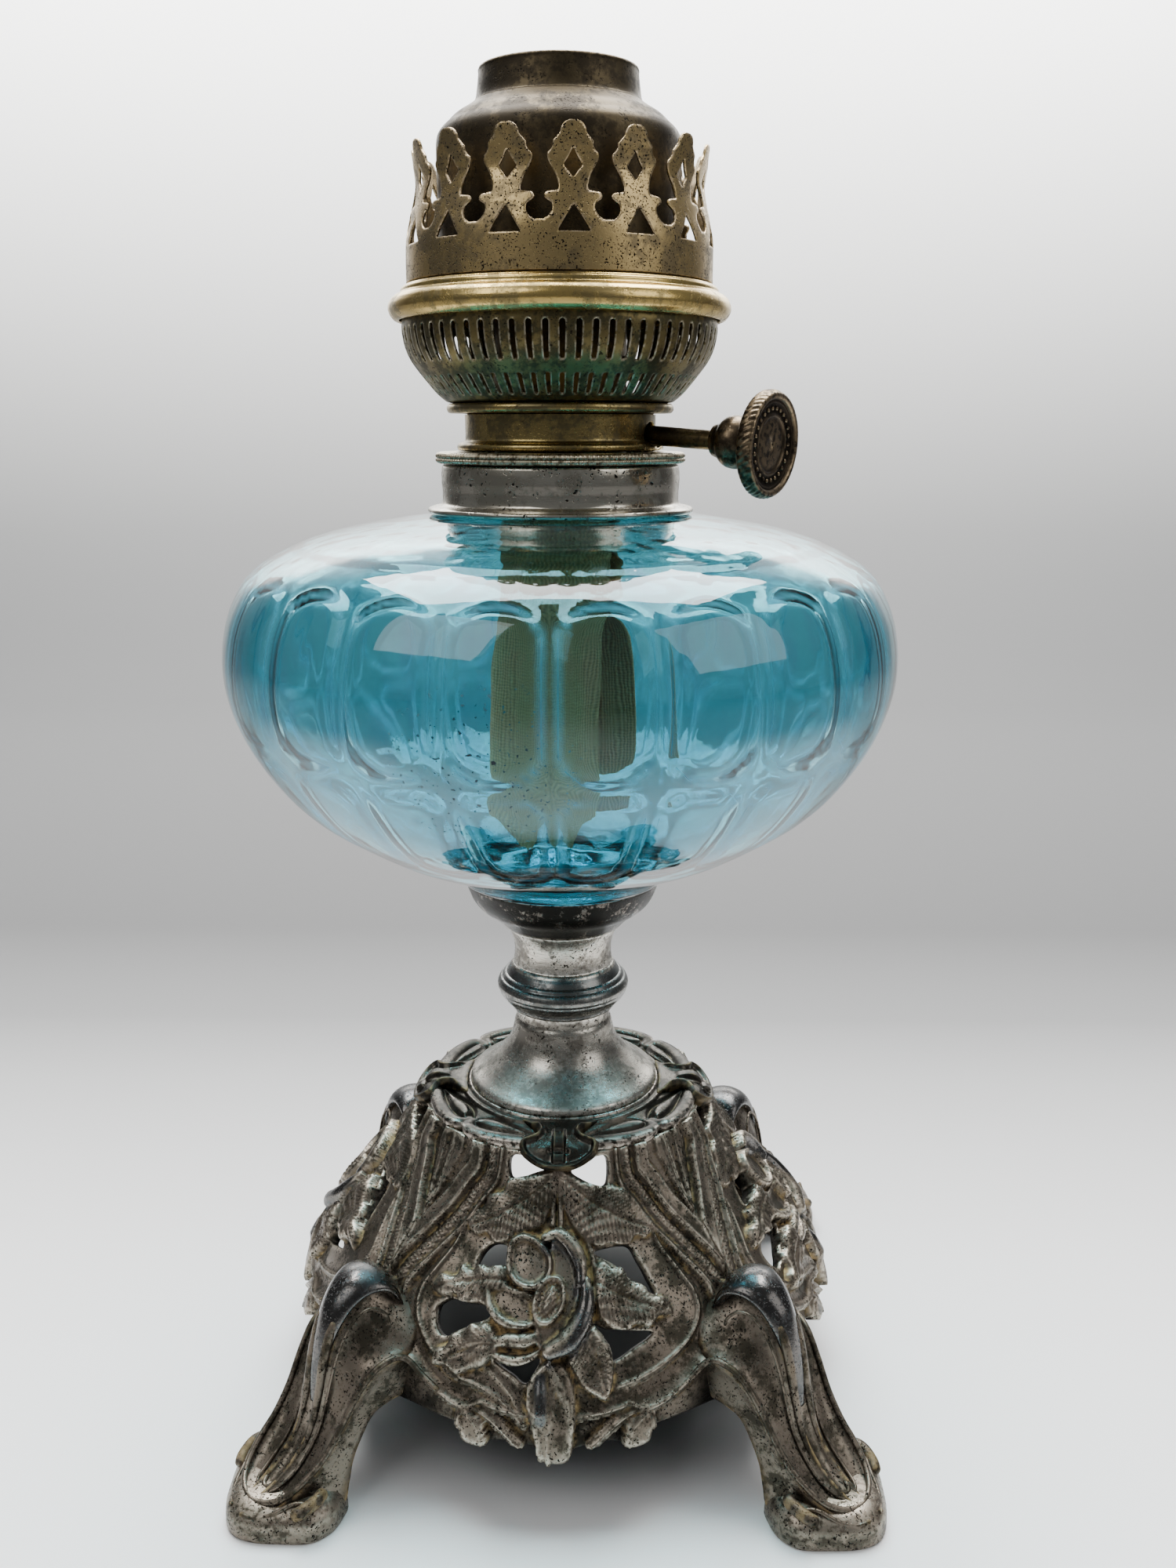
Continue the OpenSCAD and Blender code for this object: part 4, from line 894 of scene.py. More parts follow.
def sole_curls():
    """The thin hooked line on both outer sides of a foot, and the lobes above it."""
    out = []
    curl = [(71.8, 6.3), (68, 5.4), (64, 6.4), (60, 8), (57, 8.2), (55.6, 6.8), (57, 4.8), (60.4, 3.4)]
    y = 75.2
    pts = np.array([[0.70711 * (x + y), 0.70711 * (y - x), z] for x, z in curl])
    pts[:, 0] -= [0.6, 0.2, 0.3, 1.1, 1.2, 0.4, 0, 0]
    pts[:, 1] -= [0.6, 0.2, 0.3, 1.1, 1.2, 0.4, 0, 0]
    out.append(bar(spline(pts, 7), 0.55, 8, around=np.array([0.7, 0.7, 0])))
    out.append(bar(spline([(87, 12.6, 9.4), (90, 13.4, 8.8), (93.4, 12.6, 7.4), (95.4, 11, 6)], 6), [1.5] * 19, 10))
    return out + [flip(s) for s in out]


leg = [leg_body(), hood(), leg_sole()] + leg_lines() + sole_curls()
# the hood is polished: less roughness, and a painted dark reflection
hood_polish_and_reflection = np.concatenate([np.full(len(np.reshape(s[0], (-1, 3))), k == 1) for k, s in enumerate(leg)])
for corner, az in CORNERS.items():
    ob = put("leg_cast_" + corner, [spin(s, az) for s in leg], M["spelter"], "lamp", "spelter")
    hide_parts("leg_" + corner)
    paint_relief(ob, 1.5, 2.0)
    paint(ob, "polish_and_painted_reflection", hood_polish_and_reflection)


BEAN_ROLL = [(4.6, 33.2), (7, 33.6), (11, 34.0), (15, 34.5), (19, 34.9), (22, 34.7), (23.4, 33.4), (23.7, 31.6)]
BEAN_LOOP = [(4.6, 32.6), (5.4, 31.0), (8.6, 30.0), (13, 28.9), (17.6, 28.3), (21.2, 29.2), (23.0, 31.2), (22.6, 32.6),
             (20.4, 32.9), (16, 32.6), (11, 32.0), (7, 31.7)]


def plate_body():
    """The plate's top as heights over a polar grid: a disc, a sloping ring, and two bean-shaped trays a side."""
    n, m = 720, 58
    t = np.linspace(0, TAU, n, endpoint=False)
    turn = np.abs(np.remainder(t + np.pi / 4, np.pi / 2) - np.pi / 4)
    rim = np.interp(np.degrees(turn), [0, 6, 9, 20, 32, 40, 43.6, 45], [33.2, 33.8, 35.2, 35.9, 36.8, 36.7, 35.4, 34.6])
    k = np.linspace(0, 1, m)
    R = 24.2 + (rim[:, None] - 24.2) * k
    A = np.broadcast_to((31 * turn)[:, None], R.shape)
    z = Z_FOOT
    h = z + np.interp(R, [24.2, 25.6, 27, 29, 32, 34.4, 36.2], [-0.3, -0.9, -1.5, -2.1, -2.5, -3.0, -3.8])
    h = np.maximum(h, z - 0.05 - 1.4 * (R - 24.5) ** 2)
    h = np.maximum(h, z - 0.75 - 1.2 * (R - 26.2) ** 2)
    loop = outline(A, R, spline(BEAN_LOOP, 5, closed=True))
    h = h + 1.5 * dome(loop - 0.2, 2.2) - 0.35 * np.exp(-((loop - 0.5) / 0.35) ** 2) - 0.8 * np.exp(-((loop + 0.7) / 0.5) ** 2)
    h = h + 0.25 * np.exp(-(loop / 0.4) ** 2)
    q, run = along(A, R, spline(BEAN_ROLL, 6))
    r = np.interp(run, [0, 3, 18, 24], [1.5, 2.2, 2.3, 1.4])
    base = z + np.interp(run, [0, 20, 25], [-2.9, -3.4, -3.0])
    h = over(h, np.where(np.abs(q) < r, base + np.sqrt(np.clip(r * r - q * q, 0, None)), -9), 0.25)
    under = [(-0.35, -5.0), (-1.2, -5.5), (-3.0, -5.2)]
    cols_r = [R] + [(rim + a)[:, None] for a, _ in under] + [np.full((n, 1), v) for v in (29.0, ROD, ROD, 23.4)]
    cols_z = [h] + [np.full((n, 1), z + b) for _, b in under] + [np.full((n, 1), z + b) for b in (-4.2, -4.2, 0.0, 0.0)]
    R2, Z2 = np.hstack(cols_r), np.hstack(cols_z)
    T = np.broadcast_to(t[:, None], R2.shape)
    return np.stack([R2 * np.cos(T), R2 * np.sin(T), Z2], -1), quads(n, R2.shape[1], True, True)[:, ::-1]


def plate_tip():
    """The hanging shell in the middle of a side: a waisted neck that flares into two ears, with a nub on it."""
    path = spline([(25, 78.9), (28, 78.7), (31, 78.6), (33.6, 78.2), (35.8, 77), (37.4, 75.2), (38.2, 73.6), (38.3, 72.8)], 8)
    run = np.concatenate([[0], np.cumsum(np.hypot(*np.diff(path, axis=0).T))])
    normal = np.stack([-np.gradient(path[:, 1], run), np.gradient(path[:, 0], run)], 1)
    U, V = np.meshgrid(np.linspace(-10.5, 10.5, 110), np.linspace(0, run[-1], 84), indexing="ij")
    half = [(9.0, 0.3), (7.6, 2.0), (6.2, 3.6), (5.4, 5), (5.2, 6.2), (5.8, 7.4), (7.4, 8.2), (8.9, 8.9), (9.5, 10.2), (9.4, 11.6),
            (8.6, 13.0), (6.8, 14.4), (4.4, 15.5), (2.0, 15.9)]
    line = spline([(0, 0.2)] + half + [(0, 15.9)] + [(-x, y) for x, y in half[::-1]], 4, closed=True)

    def place(u, v, side):
        r, z = np.interp(v, run, path[:, 0]), np.interp(v, run, path[:, 1])
        nr, nz = np.interp(v, run, normal[:, 0]), np.interp(v, run, normal[:, 1])
        d = outline(u, v, line)
        h = 0.6 + 1.25 * np.exp(-((d - 0.9) / 0.7) ** 2) * ease(v, 1, 4)
        h = h - 0.9 * np.exp(-((d - 2.6) / 1.0) ** 2) * ease(v, 7, 9)
        nub = ease(1.9 - np.abs(u), 0, 0.8) * ease(v, 4.2, 5.6)
        h = over(h, 0.4 + nub * (1.3 + 0.4 * np.sin(v * 0.9)) * ease(15.2 - v, 0, 1.5), 0.3)
        h = h - 0.8 * np.exp(-((v - 11.8) / 0.5) ** 2) * ease(3 - np.abs(u), 0, 1.4)
        h = np.where(d < 0.35, h - 0.5 * (0.35 - d), h)
        h = h if side == 0 else np.full_like(u, -1.0)
        fall = 0.011 * u ** 2
        return np.stack([u, -(r + nr * h) + fall, z + nz * h - 0.3 * fall], -1)

    return [cut_sheet(U, V, lambda u, v: outline(u, v, line), place, (1, 1, 0.2))]


tip = plate_tip()
ob = put("foot_plate", [plate_body()] + [spin(s, 90 * k) for k in range(4) for s in tip], M["plate"], "lamp", "plate")
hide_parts("base_plate")
paint_relief(ob, 1.2, 2.5)


# Turned pieces of the stem, font and burner. Profiles are (radius, height).

drive = next(j for j in frame["joints"] if j["name"] == "knob_turn")
DRIVE_AT = np.array(drive["pos_m"]) / MM
DRIVE_WAY = np.array(drive["axis"]) / np.linalg.norm(drive["axis"])
KNOB_FACE = max((np.array(v.co) / MM - DRIVE_AT) @ DRIVE_WAY for v in frame["nodes"]["wick_knob"].data.vertices)


def add_turned(name, node, profile, mat, body, n=160, bump=None, extra=(), coarse=1.0):
    slot = slots[node]
    ob = put(name, [turned(profile, n, bump)] + list(extra), M[mat], body, slot)
    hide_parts(node)
    paint_relief(ob, 1.5, coarse)
    return ob


def stem():
    z = Z_FOOT
    bell = spline([(24.4, z + 0.3), (23.9, z + 1.6), (21.6, z + 3.1), (19.6, z + 4.6), (17.35, z + 6.5), (15.4, z + 8.5),
                   (14.2, z + 10.5), (13.4, z + 12.5), (12.9, z + 14.5), (12.5, z + 16.4), (12.0, z + 17.4),
                   (11.8, z + 18.6), (11.7, Z_KNOP)], 4)
    add_turned("stem_bell_turned", "stem_bell", [(ROD, z), (24.4, z)] + bell.tolist() + [(ROD, Z_KNOP)], "stem", "lamp")
    z = Z_KNOP
    knop = [(12.3, z), (13.3, z + 0.25), (13.7, z + 0.9), (13.55, z + 1.35), (14.2, z + 1.7), (15.2, z + 2.6), (16.1, z + 3.7),
            (16.5, z + 4.5), (16.55, z + 5.0), (16.85, z + 5.5), (16.95, z + 6.5), (16.6, z + 7.5), (16.1, z + 8.1),
            (15.7, z + 8.2), (15.5, z + 8.5), (15.3, z + 9.0), (14.85, z + 9.35), (14.55, z + 9.35), (14.4, z + 9.7),
            (13.9, z + 10.6), (13.3, z + 11.4), (12.85, Z_SPOOL)]
    add_turned("stem_knop_turned", "stem_knop", [(ROD, z)] + fillet(knop, 0.25, 3).tolist() + [(ROD, Z_SPOOL)], "knop", "lamp", 192)
    z = Z_SPOOL
    spool = spline([(12.8, z), (12.5, z + 1.7), (12.4, z + 3.6), (12.6, z + 5.6), (13.0, z + 7.2), (13.7, z + 8.9), (14.5, Z_CUP - 0.3)], 4)
    add_turned("stem_spool_turned", "stem_spool", [(ROD, z)] + spool.tolist() + [(14.5, Z_CUP), (ROD, Z_CUP)], "stem", "lamp")
    z = Z_CUP
    side = [(14.6, z), (15.3, z + 0.05), (15.7, z + 0.5), (15.9, z + 0.8)]
    bowl = spline([(15.9, z + 0.8), (17.1, z + 2.0), (18.8, z + 3.5), (21, z + 5), (22.4, z + 6.5), (23.35, z + 8.2),
                   (24.2, z + 10.4), (24.75, z + 11.9), (24.8, Z_RIM)], 5)
    inner = [(r - 1.2, max(h, z + 1.5)) for r, h in bowl[::-1] if h > z + 1.5]
    profile = [(ROD, z)] + side[:-1] + bowl.tolist() + [(23.7, Z_RIM)] + inner + [(ROD, z + 1.5)]
    add_turned("font_cup_spun", "font_cup", profile, "cup", "lamp", 192)


GLASS = [(23.1, 0.1), (25.4, 0.25), (27.2, 1.6), (32.1, 4.6), (38.6, 7.6), (45.5, 10.6), (50.8, 13.6), (55.6, 16.6), (60.1, 19.6),
         (63.8, 22.6), (68.2, 27.1), (72.7, 33.1), (76.2, 39.1), (78.7, 45.1), (80.25, 51.1), (80.7, 57.1), (80.1, 63.1),
         (78.5, 69.1), (75.4, 75.1), (71.8, 78.7), (67.5, 81.5), (61.9, 84.1), (57.5, 85.6), (51.9, 87.1), (43.8, 88.6),
         (34.9, 90.0), (30, 90.5), (27.6, 90.9)]
PANELS = 22


def glass():
    """A smooth outside, and an inside pressed with two rows of round-cornered panels between thicker ribs."""
    z = Z_RIM
    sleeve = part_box("collar_sleeve")[1][0] / MM
    line = spline([(r, z + h) for r, h in GLASS], 4)
    run = np.concatenate([[0], np.cumsum(np.hypot(*np.diff(line, axis=0).T))])
    normal = np.stack([np.gradient(line[:, 1], run), -np.gradient(line[:, 0], run)], 1)
    normal /= np.linalg.norm(normal, axis=1, keepdims=True)
    rows = []
    for lo, hi, corner in ((150.0, 173.4, 6.0), (176.2, 213.4, 9.0)):
        a, b = np.interp([lo, hi], line[:, 1], run)
        rows.append((0.5 * (a + b), 0.5 * (b - a), corner))
    n = PANELS * 14
    t = np.linspace(0, TAU, n, endpoint=False) + np.radians(-89.7)
    turn = TAU / PANELS
    s = run[::-1]
    T, S_ = np.meshgrid(t, s, indexing="ij")
    R = np.interp(S_, run, line[:, 0])
    off = (np.remainder(T - np.radians(-89.7), turn) - 0.5 * turn) * R
    thick, edge = np.full(T.shape, 3.2), np.zeros(T.shape)
    for mid, half, corner in rows:
        wide = 0.5 * turn * R - 1.5
        qx, qs = np.abs(off) - wide + corner, np.abs(S_ - mid) - half + corner
        d = corner - np.hypot(np.maximum(qx, 0), np.maximum(qs, 0)) - np.minimum(np.maximum(qx, qs), 0)
        thick = thick - 1.0 * ease(d, -2.4, 3.2)
        # edge marks the panels' outlines, where the glass is given its painted edge shade
        edge = np.maximum(edge, np.exp(-((d - 0.2) / 0.8) ** 2))
    thick = np.where(S_ > np.interp(z + 84, line[:, 1], run), np.interp(S_, [run[-30], run[-1]], [3.0, 2.8]), thick)
    nr, nz = np.interp(S_, run, normal[:, 0]), np.interp(S_, run, normal[:, 1])
    r_in, z_in = R - nr * thick, np.interp(S_, run, line[:, 1]) - nz * thick
    outer_r, outer_z = np.broadcast_to(line[:, 0], (n, len(line))), np.broadcast_to(line[:, 1], (n, len(line)))
    foot_o = [(0, z - 4.6), (18, z - 4.6), (20.4, z - 4.0), (21.8, z - 3.0), (22.8, z - 1.2), (23.1, z - 0.4)]
    foot_i = [(21.5, z - 0.6), (16, z - 1.6), (0, z - 1.8)]
    gneck_ro = sleeve + 2.6
    top = [(gneck_ro, Z_COLLAR + 0.4), (gneck_ro, Z_CTOP - 2.5), (sleeve + 0.15, Z_CTOP - 2.5), (sleeve + 0.15, Z_COLLAR - 2.6)]

    def carry(pts):
        p = np.array(pts, float)
        return np.broadcast_to(p[:, 0], (n, len(p))), np.broadcast_to(p[:, 1], (n, len(p)))

    keep = (r_in[0] > sleeve + 0.2) | (S_[0] < run[-1] * 0.5)
    parts = [carry(foot_o), (outer_r, outer_z), carry(top), (r_in[:, keep], z_in[:, keep]), carry(foot_i)]
    R2, Z2 = (np.hstack([p[k] for p in parts]) for k in (0, 1))
    rim = np.hstack([np.zeros((n, sum(p[0].shape[1] for p in parts[:3]))), edge[:, keep], np.zeros((n, len(foot_i)))])
    R2 = np.maximum(R2, 0.002)
    T2 = np.broadcast_to(t[:, None], R2.shape)
    shape = np.stack([R2 * np.cos(T2), R2 * np.sin(T2), Z2], -1), quads(n, R2.shape[1], True, True)
    ob = put("glass_font_pressed", [shape], M["glass"], "lamp", "glass")
    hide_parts("glass_font")
    paint(ob, "rim", rim.ravel())


def collar():
    z, top = Z_COLLAR, Z_CTOP
    prof = [(27.5, z + 0.1), (30.9, z - 0.2), (31.4, z + 0.2), (31.55, z + 0.8), (31.2, z + 1.25), (30.4, z + 1.5), (29.4, z + 1.7),
            (28.5, z + 1.95), (28.1, z + 2.4), (28.0, z + 3.2), (28.0, z + 5), (28.2, z + 7), (28.2, z + 9.2), (28.05, top - 0.5),
            (27.7, top), (25, top), (25, top - 0.8), (27.1, top - 0.8), (27.1, z + 2.0)]
    add_turned("font_collar_turned", "font_collar", fillet(prof, 0.3, 3), "nickel", "lamp", 192)


def screw_ring():
    """The ring's edge is knurled in two rows; its skirt carries round thread ridges."""
    z, top = Z_CTOP + 0.3, Z_RING
    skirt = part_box("collar_sleeve")[1][0] / MM - 1.1
    count = 180

    def knurl(t, r, h):
        row = np.where(h > 0.55 * z + 0.45 * top, 0.5, 0.0)
        tooth = np.abs(np.cos(0.5 * count * t + np.pi * row))
        return np.where(r > 28.9, -0.4 * (1 - tooth ** 0.7), 0.0)

    low_end = z - (Z_CTOP - Z_COLLAR) + 2.6
    ridges = []
    at = z - 1.4
    while at > low_end + 1:
        ridges += [(skirt - 0.4, at), (skirt - 0.1, at - 0.4), (skirt - 0.1, at - 0.6), (skirt - 0.4, at - 1.0)]
        at -= 2.0
    prof = [(skirt - 1.4, low_end), (skirt - 0.6, low_end)] + ridges[::-1] + [(skirt - 0.4, z), (28.6, z), (29.2, z + 0.25), (29.5, z + 0.6),
            (29.5, z + 0.95), (29.35, z + 1.15), (29.05, z + 1.25), (29.35, z + 1.35), (29.5, z + 1.6), (29.45, z + 2.0), (29.1, z + 2.35),
            (28.5, top), (skirt - 1.4, top)]
    add_turned("screw_ring_knurled", "screw_ring", prof, "ring", "screw_ring", count * 6, knurl, (), 3.0)


def walled(name, node, line, thick, dist, columns, rows, mat, body, extra=(), lim=0.3, radius=30.0, bend=None):
    """A thin turned wall along line, (r, z) upwards, kept where dist(arc angle, run, r, z) > 0."""
    p = spline(line, 6)
    run = np.concatenate([[0], np.cumsum(np.hypot(*np.diff(p, axis=0).T))])
    normal = np.stack([np.gradient(p[:, 1], run), -np.gradient(p[:, 0], run)], 1)
    normal /= np.linalg.norm(normal, axis=1, keepdims=True)
    U, V = np.meshgrid(columns, np.linspace(0, run[-1], rows), indexing="ij")

    def at(v, k):
        return np.interp(v, run, p[:, k])

    def place(u, v, side):
        r, z = at(v, 0), at(v, 1)
        if bend is not None:
            r = r + bend(u, z)
        h = -thick * side
        r, z = r + np.interp(v, run, normal[:, 0]) * h, z + np.interp(v, run, normal[:, 1]) * h
        return np.stack([r * np.cos(u), r * np.sin(u), z], -1)

    sheet = cut_sheet(U, V, lambda u, v: dist(u, at(v, 0), at(v, 1)), place, (radius, 1, lim), wrap=True)
    ob = put(name, [sheet] + list(extra), M[mat], body, slots[node])
    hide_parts(node)
    paint_relief(ob, 0.8)
    return ob


def burner_body():
    """The plain neck of the burner, with the oval hole that the shaft passes through."""
    z, top = Z_RING + 0.3, Z_SEAT
    line = [(24.0, z), (24.25, z + 0.5), (24.3, z + 1.0), (24.0, z + 1.5), (23.3, z + 1.9), (22.7, z + 2.1), (22.4, z + 2.5),
            (22.35, z + 4), (22.4, z + 6.4), (22.4, top)]
    hole = DRIVE_AT + DRIVE_WAY * math.sqrt(22.4 ** 2 - DRIVE_AT[0] ** 2 - DRIVE_AT[1] ** 2)
    spot = math.atan2(hole[1], hole[0])

    def dist(u, r, h):
        a = (np.remainder(u - spot + np.pi, TAU) - np.pi) * r
        return np.hypot(a / 1.25, h - hole[2]) - 3.1

    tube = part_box("outer_wick_tube")[1][0] / MM
    flat = [turned([(tube, z), (23.6, z), (23.6, z + 0.9), (tube, z + 0.9)], 96),
            turned([(tube, top - 0.8), (21.9, top - 0.8), (21.9, top), (tube, top)], 96)]
    walled("burner_body_turned", "burner_body", line, 0.7, dist, np.linspace(0, TAU, 288, endpoint=False), 30, "olive", "burner",
           flat, 0.3, 22.4)


def basket():
    """The seat ring and the slotted basket: two rows of upright slots with round ends."""
    z = Z_SEAT
    seat = [(21, z), (25.7, z), (26.2, z + 0.15), (26.5, z + 0.6), (26.6, z + 1.1), (26.5, z + 1.6), (26.1, Z_BASKET), (21, Z_BASKET)]
    add_turned("basket_seat_turned", "basket_seat", fillet(seat, 0.25, 3), "olive", "burner")
    z, k = Z_BASKET, (high("air_basket") - Z_BASKET) / 17.6
    line = [(22, z + 0.1), (24.6, z + 0.12), (26.2, z + 0.3), (27.2, z + 0.9), (28.9, z + 2.4), (30.8, z + 4.6), (32.5, z + 6.7),
            (34.0, z + 8.7), (35.1, z + 10.6), (35.9, z + 12.8), (36.35, z + 15.2), (36.45, z + 16.6), (36.4, z + 17.6)]
    # the top edge stands up inside the rolled bead of the gallery
    line = [(r, z + (h - z) * k) for r, h in line] + [(36.35, Z_GAL + 0.9)]
    count = 64
    turn = TAU / count

    def slot(a, h, lo, hi, half_lo, half_hi):
        half = np.interp(h, [lo, hi], [half_lo, half_hi])
        return np.hypot(a, h - np.clip(h, lo + half, hi - half)) - half

    def dist(u, r, h):
        a = (np.remainder(u, turn) - 0.5 * turn) * r
        return np.minimum(slot(a, h, z + 8.5 * k, z + 16.6 * k, 0.52, 0.68),
                          slot(a, h, z + 1.5 * k, z + 6.0 * k, 0.42, 0.55))

    steps = np.array([-0.5, -0.4, -0.3, -0.2, -0.1, 0, 0.1, 0.2, 0.3, 0.4])
    columns = ((np.arange(count)[:, None] + 0.5 + steps) * turn).ravel()
    walled("air_basket_slotted", "air_basket", line, 0.55, dist, columns, 62, "basket", "burner", (), 0.22, 34.0)


def gallery():
    z = Z_GAL
    bead = [(36.9, z + 0.5), (37.3, z + 0.1), (38.2, z + 0.5), (39.0, z + 1.4), (39.45, z + 2.6), (39.4, z + 3.6), (38.9, z + 4.7),
            (38.0, z + 5.6), (37.0, z + 6.0), (36.6, z + 6.2), (36.45, z + 6.5), (36.5, z + 6.9), (36.2, z + 7.4), (35.9, z + 7.5),
            (35.6, z + 7.6), (35.4, z + 7.95), (33.3, z + 8.0), (33.3, z + 7.3), (34.6, z + 7.2), (34.6, z + 6.4), (36.2, z + 5.3),
            (37.6, z + 4.0), (38.1, z + 2.8), (37.7, z + 1.6)]
    add_turned("gallery_ring_rolled", "gallery_ring", fillet(bead, 0.3, 2), "gold", "gallery", 192)


CROWN = [(35.05, 276.75), (35.05, 281), (35.0, 285), (34.75, 287.4), (34.3, 289.4), (33.9, 291.4), (33.4, 293.4), (33.0, 295.4),
         (32.7, 297.4), (32.9, 299.6), (33.25, 301.6), (33.5, 303.6), (33.85, 305.65)]
GAP = [(1.0, 286.8), (1.9, 287.4), (2.5, 288.2), (2.8, 289.1), (2.5, 290.1), (1.6, 290.7), (1.05, 291.1), (1.0, 291.7),
       (1.5, 292.15), (2.6, 292.3), (3.9, 292.5), (4.05, 293.3), (3.7, 294.6), (3.3, 295.7), (2.5, 297.0), (1.8, 298.2), (1.55, 299.1),
       (1.75, 299.7), (2.4, 300.2), (2.85, 301.0), (2.85, 301.8), (3.5, 302.5), (4.3, 303.3), (4.5, 304.2), (5.0, 305.0),
       (5.7, 305.5), (7.2, 305.95), (7.3, 308)]
TRIANGLE = [(-3.4, 284.5), (3.4, 284.5), (2.2, 286.5), (1.0, 288.4), (0, 289.9), (-1.0, 288.4), (-2.2, 286.5)]
DIAMOND = [(0, 294.9), (1.0, 296.2), (2.1, 297.4), (1.0, 298.9), (0, 300.8), (-1.0, 298.9), (-2.1, 297.4), (-1.0, 296.2)]
LEAN = [0.3, -0.4, 0.5, 0.1, -0.5, 0.4, 0.0, -0.3, 0.5, -0.2, 0.3, -0.5, 0.2, 0.4, -0.3]


def crown():
    """Fifteen pierced fronds; each leans a little in or out on its own."""
    lift = Z_CROWN - 276.7
    turn = TAU / 15
    mirrored = GAP + [(-x, z) for x, z in GAP[::-1]]

    def dist(u, r, h):
        h = h - lift
        a = (np.remainder(u - math.radians(-83) + 0.5 * turn, turn) - 0.5 * turn) * 33.6
        b = (np.remainder(u - math.radians(-83), turn) - 0.5 * turn) * 33.6
        d = np.minimum(-outline(b, h, mirrored), -outline(a, h, TRIANGLE))
        return np.minimum(d, -outline(a, h, DIAMOND))

    def bend(u, h):
        k = (np.floor((u - math.radians(-83) + 0.5 * turn) / turn).astype(int)) % 15
        wave = 0.12 * np.sin(3 * u + 1) + 0.08 * np.sin(5 * u)
        a = (np.remainder(u - math.radians(-83) + 0.5 * turn, turn) - 0.5 * turn) / turn
        return (np.array(LEAN)[k] + 0.6 * a * a) * ease(h - lift, 291, 306) + wave * ease(h - lift, 279, 292)

    columns = np.linspace(0, TAU, 15 * 44, endpoint=False)
    line = [(r, z + lift) for r, z in CROWN]
    walled("gallery_crown_pierced", "gallery_crown", line, 0.6, dist, columns, 68, "crown", "gallery", (), 0.3, 33.6, bend)


def dome_parts():
    z = Z_CROWN + 0.6
    line = [(27.6, z), (27.6, Z_TIP - 8), (27.6, Z_TIP - 1), (27.55, Z_TIP + 1.2), (27.15, Z_TIP + 2.7), (26.3, Z_TIP + 3.9),
            (25.2, Z_TIP + 4.9), (24.2, Z_TIP + 5.9), (23.1, Z_TIP + 6.8), (21.6, Z_TIP + 7.7), (20.3, Z_TIP + 8.5), (19.2, Z_TIP + 9.3)]
    outer = spline(line, 4)
    inner = outer[::-1] - [0.6, 0.0]
    add_turned("burner_dome_spun", "burner_dome", outer.tolist() + inner.tolist(), "dome", "gallery", 192)
    z = Z_TIP + 9.3
    neck = spline([(19.15, z), (18.75, z + 0.6), (18.45, z + 1.6), (18.25, z + 3.0), (18.05, z + 4.6), (17.9, z + 6.2), (17.95, Z_TOP - 0.4)], 4)
    add_turned("dome_neck_spun", "dome_neck", neck.tolist() + [(17.8, Z_TOP), (17.45, Z_TOP)] + (neck[::-1] - [0.55, 0.0]).tolist(),
                    "dome", "gallery", 160)


# The knob, in a frame of its own: along the shaft and round it.

def on_shaft(shape):
    """A shape drawn round its z axis, moved onto the wick shaft."""
    w = np.array(DRIVE_WAY)
    e = np.cross([0, 0, 1.0], w)
    e /= np.linalg.norm(e)
    f = np.cross(w, e)
    v = np.asarray(shape[0], float).reshape(-1, 3)
    return np.array(DRIVE_AT) + v[:, :1] * e + v[:, 1:2] * f + v[:, 2:] * w, shape[1]


def knob():
    d = KNOB_FACE
    hub = spline([(3.5, d - 15), (3.75, d - 14.2), (4.1, d - 13.2), (5.0, d - 12.4), (5.6, d - 11.4), (5.85, d - 10.2), (5.85, d - 9.0),
                  (5.5, d - 7.8), (4.9, d - 6.6), (4.5, d - 5.2), (4.4, d - 4.2), (4.7, d - 3.4)], 4)
    ob = put("knob_hub_turned", [on_shaft(turned([(2.2, d - 15)] + hub.tolist() + [(2.2, d - 3.4)], 96))], M["bronze"], "wick_drive",
             slots["knob_hub"])
    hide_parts("knob_hub")
    paint_relief(ob)

    def rope(t, r, h):
        k = ease(r, 11.0, 11.5)
        return -0.28 * k * np.abs(np.sin(26 * t + 1.5 * (h - d)))

    rim = [(8.6, d - 3.5), (10.2, d - 3.75), (10.9, d - 3.7), (11.3, d - 3.4)]
    rim += [(11.5 + 0.3 * math.sin(math.pi * s), d - 3.2 + 2.5 * s) for s in np.linspace(0.02, 0.98, 9)]
    face = [(11.35, d - 0.45), (11.0, d - 0.1), (10.5, d), (10.0, d - 0.15), (9.7, d - 0.6), (9.55, d - 0.85), (9.3, d - 0.7), (9.1, d - 0.6),
            (8.9, d - 0.75), (8.6, d - 1.0), (6.9, d - 1.1), (6.6, d - 0.85), (6.3, d - 0.7), (6.0, d - 0.85), (5.7, d - 1.15),
            (5.3, d - 1.2), (4.6, d - 1.05), (2.2, d - 1.1), (0, d - 1.1)]
    shapes = [turned([(0, d - 3.4)] + rim + face, 312, rope)]
    beads = 26
    ball = turned([(0, -0.3), (0.38, -0.28), (0.5, 0), (0.42, 0.3), (0.25, 0.42), (0, 0.46)], 10)
    for k in range(beads):
        a = TAU * k / beads
        v = np.asarray(ball[0], float).reshape(-1, 3) + [7.75 * math.cos(a), 7.75 * math.sin(a), d - 1.05]
        shapes.append((v, ball[1]))
    ob = put("wick_knob_knurled", [on_shaft(s) for s in shapes], M["bronze"], "wick_drive", slots["wick_knob"])
    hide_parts("wick_knob")
    paint_relief(ob)


